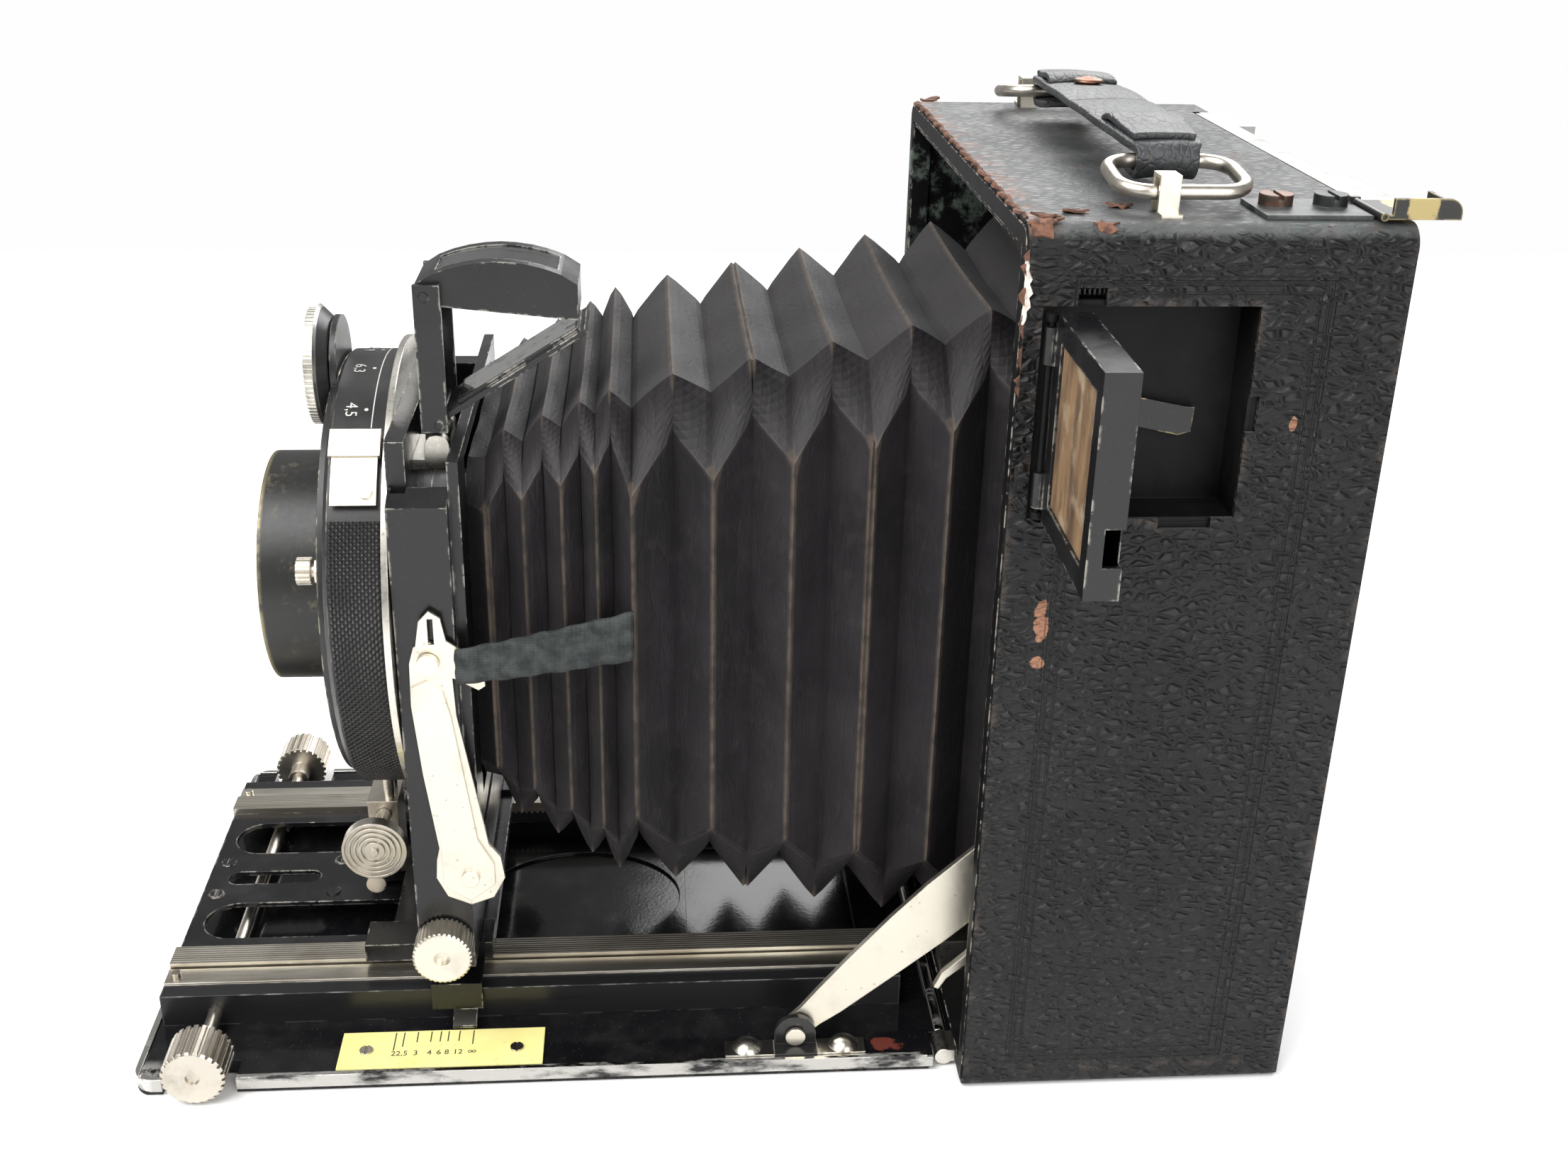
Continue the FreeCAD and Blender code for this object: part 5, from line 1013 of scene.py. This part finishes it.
for s, a in (("4,5", 64.0), ("6,3", 82.0), ("9", 98.0), ("12,5", 110.0), ("18", 122.0), ("25", 132.0), ("36", 141.0)):
    obs.append(text_mesh("num", s, 0.0030, MAT["fill"], on_drum(a, -142.2, 0)))
    obs.append(text_mesh("num", "•", 0.0030, MAT["fill"], on_drum(a, -139.6, 0)))
for k in range(24):
    a0, a1 = 58 + k * 3.6, 58 + (k + 1) * 3.6
    v = []
    for a in (a0, a1):
        t = R(a)
        for yy in (-138.35, -138.15):
            v.append((RD * math.cos(t) * mm, yy * mm, AX + RD * math.sin(t) * mm))
    obs.append(mesh_obj("seg", v, [(0, 1, 3, 2)], MAT["fill"]))
for a in (57.6,):
    pass
o = join("aperture_figures", obs)
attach(o, "lens_body")

# figures round the speed dial's sloping back
obs = []
for k, s in enumerate(("1", "2", "5", "10", "25", "50", "75", "100", "Z", "B")):
    a = R(-10 + 36 * k)
    rr = 10.2
    n = Vector((math.cos(a) * 0.70, 0.71, math.sin(a) * 0.70))
    tang = Vector((-math.sin(a), 0, math.cos(a)))
    upv = n.cross(tang)
    p = Vector((rr * math.cos(a), -149.05, 124.4 + rr * math.sin(a))) * mm + n * 0.00004
    m4 = Matrix(((tang.x, upv.x, n.x, p.x), (tang.y, upv.y, n.y, p.y), (tang.z, upv.z, n.z, p.z), (0, 0, 0, 1)))
    obs.append(text_mesh("num", s, 0.0021, MAT["fill"], m4))
o = join("speed_figures", obs)
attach(o, "dial_body")


# ------------------------------------------------------------------ torn leather at the opening's edge
def fringe(name, pts, depth, mat, seed, axis):
    """Ragged strip along a polyline; depth is how far the teeth reach, in mm."""
    rnd = random.Random(seed)
    V, F = [], []
    n = len(pts)
    for i, p in enumerate(pts):
        t = depth * (0.25 + 0.75 * rnd.random()) * (0.5 + 0.5 * math.sin(i * 0.9 + seed))
        lift = 0.5 * rnd.random()
        a = Vector(p)
        b = a + Vector(axis) * t + Vector((0, 0, lift))
        V += [a * mm, b * mm]
    for i in range(n - 1):
        F.append((2 * i, 2 * i + 1, 2 * i + 3, 2 * i + 2))
    o = mesh_obj(name, V, F, mat, False)
    s = o.modifiers.new("t", "SOLIDIFY")
    s.thickness = 0.00045
    s.offset = 0
    apply_mods(o)
    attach(o, "camera_body")
    return o


def torn_mat():
    m = M("torn_leather")
    n = m.noise(520, 6, 0.65)
    c = m.mix(m.step(n, 0.36, 0.66), (0.19, 0.085, 0.050), (0.060, 0.030, 0.022))
    c = m.mix(m.math("MULTIPLY", m.step(m.noise(900, 4), 0.58, 0.7), 0.6), c, (0.33, 0.17, 0.11))
    m.set("Base Color", c)
    m.set("Roughness", 0.8)
    m.set("Normal", m.bump(n, 0.6, 0.0005))
    return m.m


def core_mat():
    m = M("torn_core")
    n = m.noise(420, 6, 0.65)
    m.set("Base Color", m.mix(m.step(n, 0.4, 0.7), (0.70, 0.66, 0.60), (0.34, 0.24, 0.19)))
    m.set("Roughness", 0.75)
    m.set("Normal", m.bump(n, 0.5, 0.0005))
    return m.m


TORN, CORE = torn_mat(), core_mat()
fringe("torn_edge_top", [(x, -30.3, 165.02) for x in [58 - 0.9 * i for i in range(130)]], 1.6, TORN, 3, (0, -1, 0))
fringe("torn_edge_near", [(62.1, -30.5, z) for z in [161 - 0.7 * i for i in range(34)]], 1.5, TORN, 5, (0, -1, 0.0))
rnd = random.Random(12)
flap_specs = [(60.0, -28.6, 165.0, 4.4, 20), (57.5, -26.5, 165.2, 3.2, -35), (53.0, -22.0, 165.1, 3.4, 10), (60.4, -19.0, 164.6, 3.0, 60), (49.0, -13.5, 165.05, 2.6, -10), (-60.5, -28.0, 164.9, 3.0, 100)]
for i, (x, y, z, r, ang) in enumerate(flap_specs):
    V = [Vector((x, y, z + 0.25)) * mm]
    k = 14
    for j in range(k):
        t = 2 * math.pi * j / k
        rr = r * (0.45 + 0.6 * rnd.random()) * (1.0 if math.cos(t - R(ang)) > 0 else 0.55)
        V.append(Vector((x + rr * math.cos(t) * 0.7, y + rr * math.sin(t), z + (0.2 + 0.8 * rnd.random() * (rr / r)) - (1.2 * max(0.0, x + rr * math.cos(t) * 0.7 - 60.5)))) * mm)
    F = [(0, 1 + j, 1 + (j + 1) % k) for j in range(k)]
    o = mesh_obj("torn_flap_%d" % i, V, F, TORN, False)
    s = o.modifiers.new("t", "SOLIDIFY")
    s.thickness = 0.0004
    apply_mods(o)
    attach(o, "camera_body")
# bare white core where the covering has split down the near front edge
V, F = [], []
for i in range(15):
    z = 159.5 - i * 0.72
    wdt = 1.3 * math.sin(math.pi * (i + 0.6) / 15.5) * (0.75 + 0.25 * math.sin(i * 2.1))
    V += [Vector((61.95, -30.95 + wdt * 0.1, z)) * mm, Vector((62.36, -30.75 + wdt, z)) * mm]
for i in range(14):
    F.append((2 * i, 2 * i + 1, 2 * i + 3, 2 * i + 2))
o = mesh_obj("split_core_near", V, F, CORE, False)
s = o.modifiers.new("t", "SOLIDIFY")
s.thickness = 0.0003
apply_mods(o)
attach(o, "camera_body")

# ------------------------------------------------------------------ floor, light, camera
lo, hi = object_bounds()
z0 = LO0[2] - 0.0002
fl = mesh_obj("floor", [(-0.62, -1.6, z0), (1.2, -1.6, z0), (1.2, 1.6, z0), (-0.62, 1.6, z0)], [(0, 1, 2, 3)], None or MAT["fill"])
fm = M("floor_paper")
fm.set("Base Color", fm.mix(fm.noise(3, 2), (0.93, 0.93, 0.928), (0.95, 0.95, 0.948)))
fm.set("Roughness", 0.6)
fl.data.materials.clear()
fl.data.materials.append(fm.m)

w = bpy.data.worlds.new("studio")
bpy.context.scene.world = w
w.use_nodes = True
bg = [n for n in w.node_tree.nodes if n.type == "BACKGROUND"][0]
wt = w.node_tree
bg.inputs[0].default_value = (1.0, 1.0, 1.0, 1)
bg.inputs[1].default_value = 0.31
bg2 = wt.nodes.new("ShaderNodeBackground")
bg2.inputs[0].default_value = (0.99, 0.99, 0.99, 1)
bg2.inputs[1].default_value = 1.0
lp = wt.nodes.new("ShaderNodeLightPath")
ms = wt.nodes.new("ShaderNodeMixShader")
wo = [n for n in wt.nodes if n.type == "OUTPUT_WORLD"][0]
wt.links.new(lp.outputs["Is Camera Ray"], ms.inputs[0])
wt.links.new(bg.outputs[0], ms.inputs[1])
wt.links.new(bg2.outputs[0], ms.inputs[2])
wt.links.new(ms.outputs[0], wo.inputs[0])


def area(name, loc, target, size, power, color=(1, 1, 1)):
    l = bpy.data.lights.new(name, "AREA")
    l.shape = "RECTANGLE"
    l.size, l.size_y = size
    l.energy = power
    l.color = color
    o = bpy.data.objects.new(name, l)
    bpy.context.scene.collection.objects.link(o)
    o.location = loc
    o.rotation_mode = "QUATERNION"
    o.rotation_quaternion = (Vector(target) - Vector(loc)).to_track_quat("-Z", "Y")
    return o


area("key_top", (0.35, -0.55, 0.85), (0, -0.06, 0.08), (0.8, 0.8), 13.0)
area("fill_near", (0.95, 0.35, 0.55), (0.03, -0.03, 0.09), (0.7, 0.9), 7.0)
area("rim_back", (-0.75, 0.25, 0.75), (-0.15, -0.04, 0.0), (0.8, 0.8), 10.0)

cam = bpy.data.cameras.new("camera")
cam.sensor_width = 36.0
cam.lens = 39.39
cam.clip_start = 0.01
co = bpy.data.objects.new("camera", cam)
bpy.context.scene.collection.objects.link(co)
CAMPOS = (0.31812, -0.08862, 0.22099)
ROWS = [[0.074929, 0.996971, 0.020861], [0.411693, -0.011874, -0.911245], [-0.908237, 0.076867, -0.411336]]
# ROWS: image right, image down, viewing direction, in the object's frame
r, d, f = [Vector(v) for v in ROWS]
m3 = Matrix((r, -d, -f)).transposed()
co.matrix_world = Matrix.Translation(CAMPOS) @ m3.to_4x4()
bpy.context.scene.camera = co
bpy.context.scene.view_settings.view_transform = "Standard"
bpy.context.scene.view_settings.look = "None"
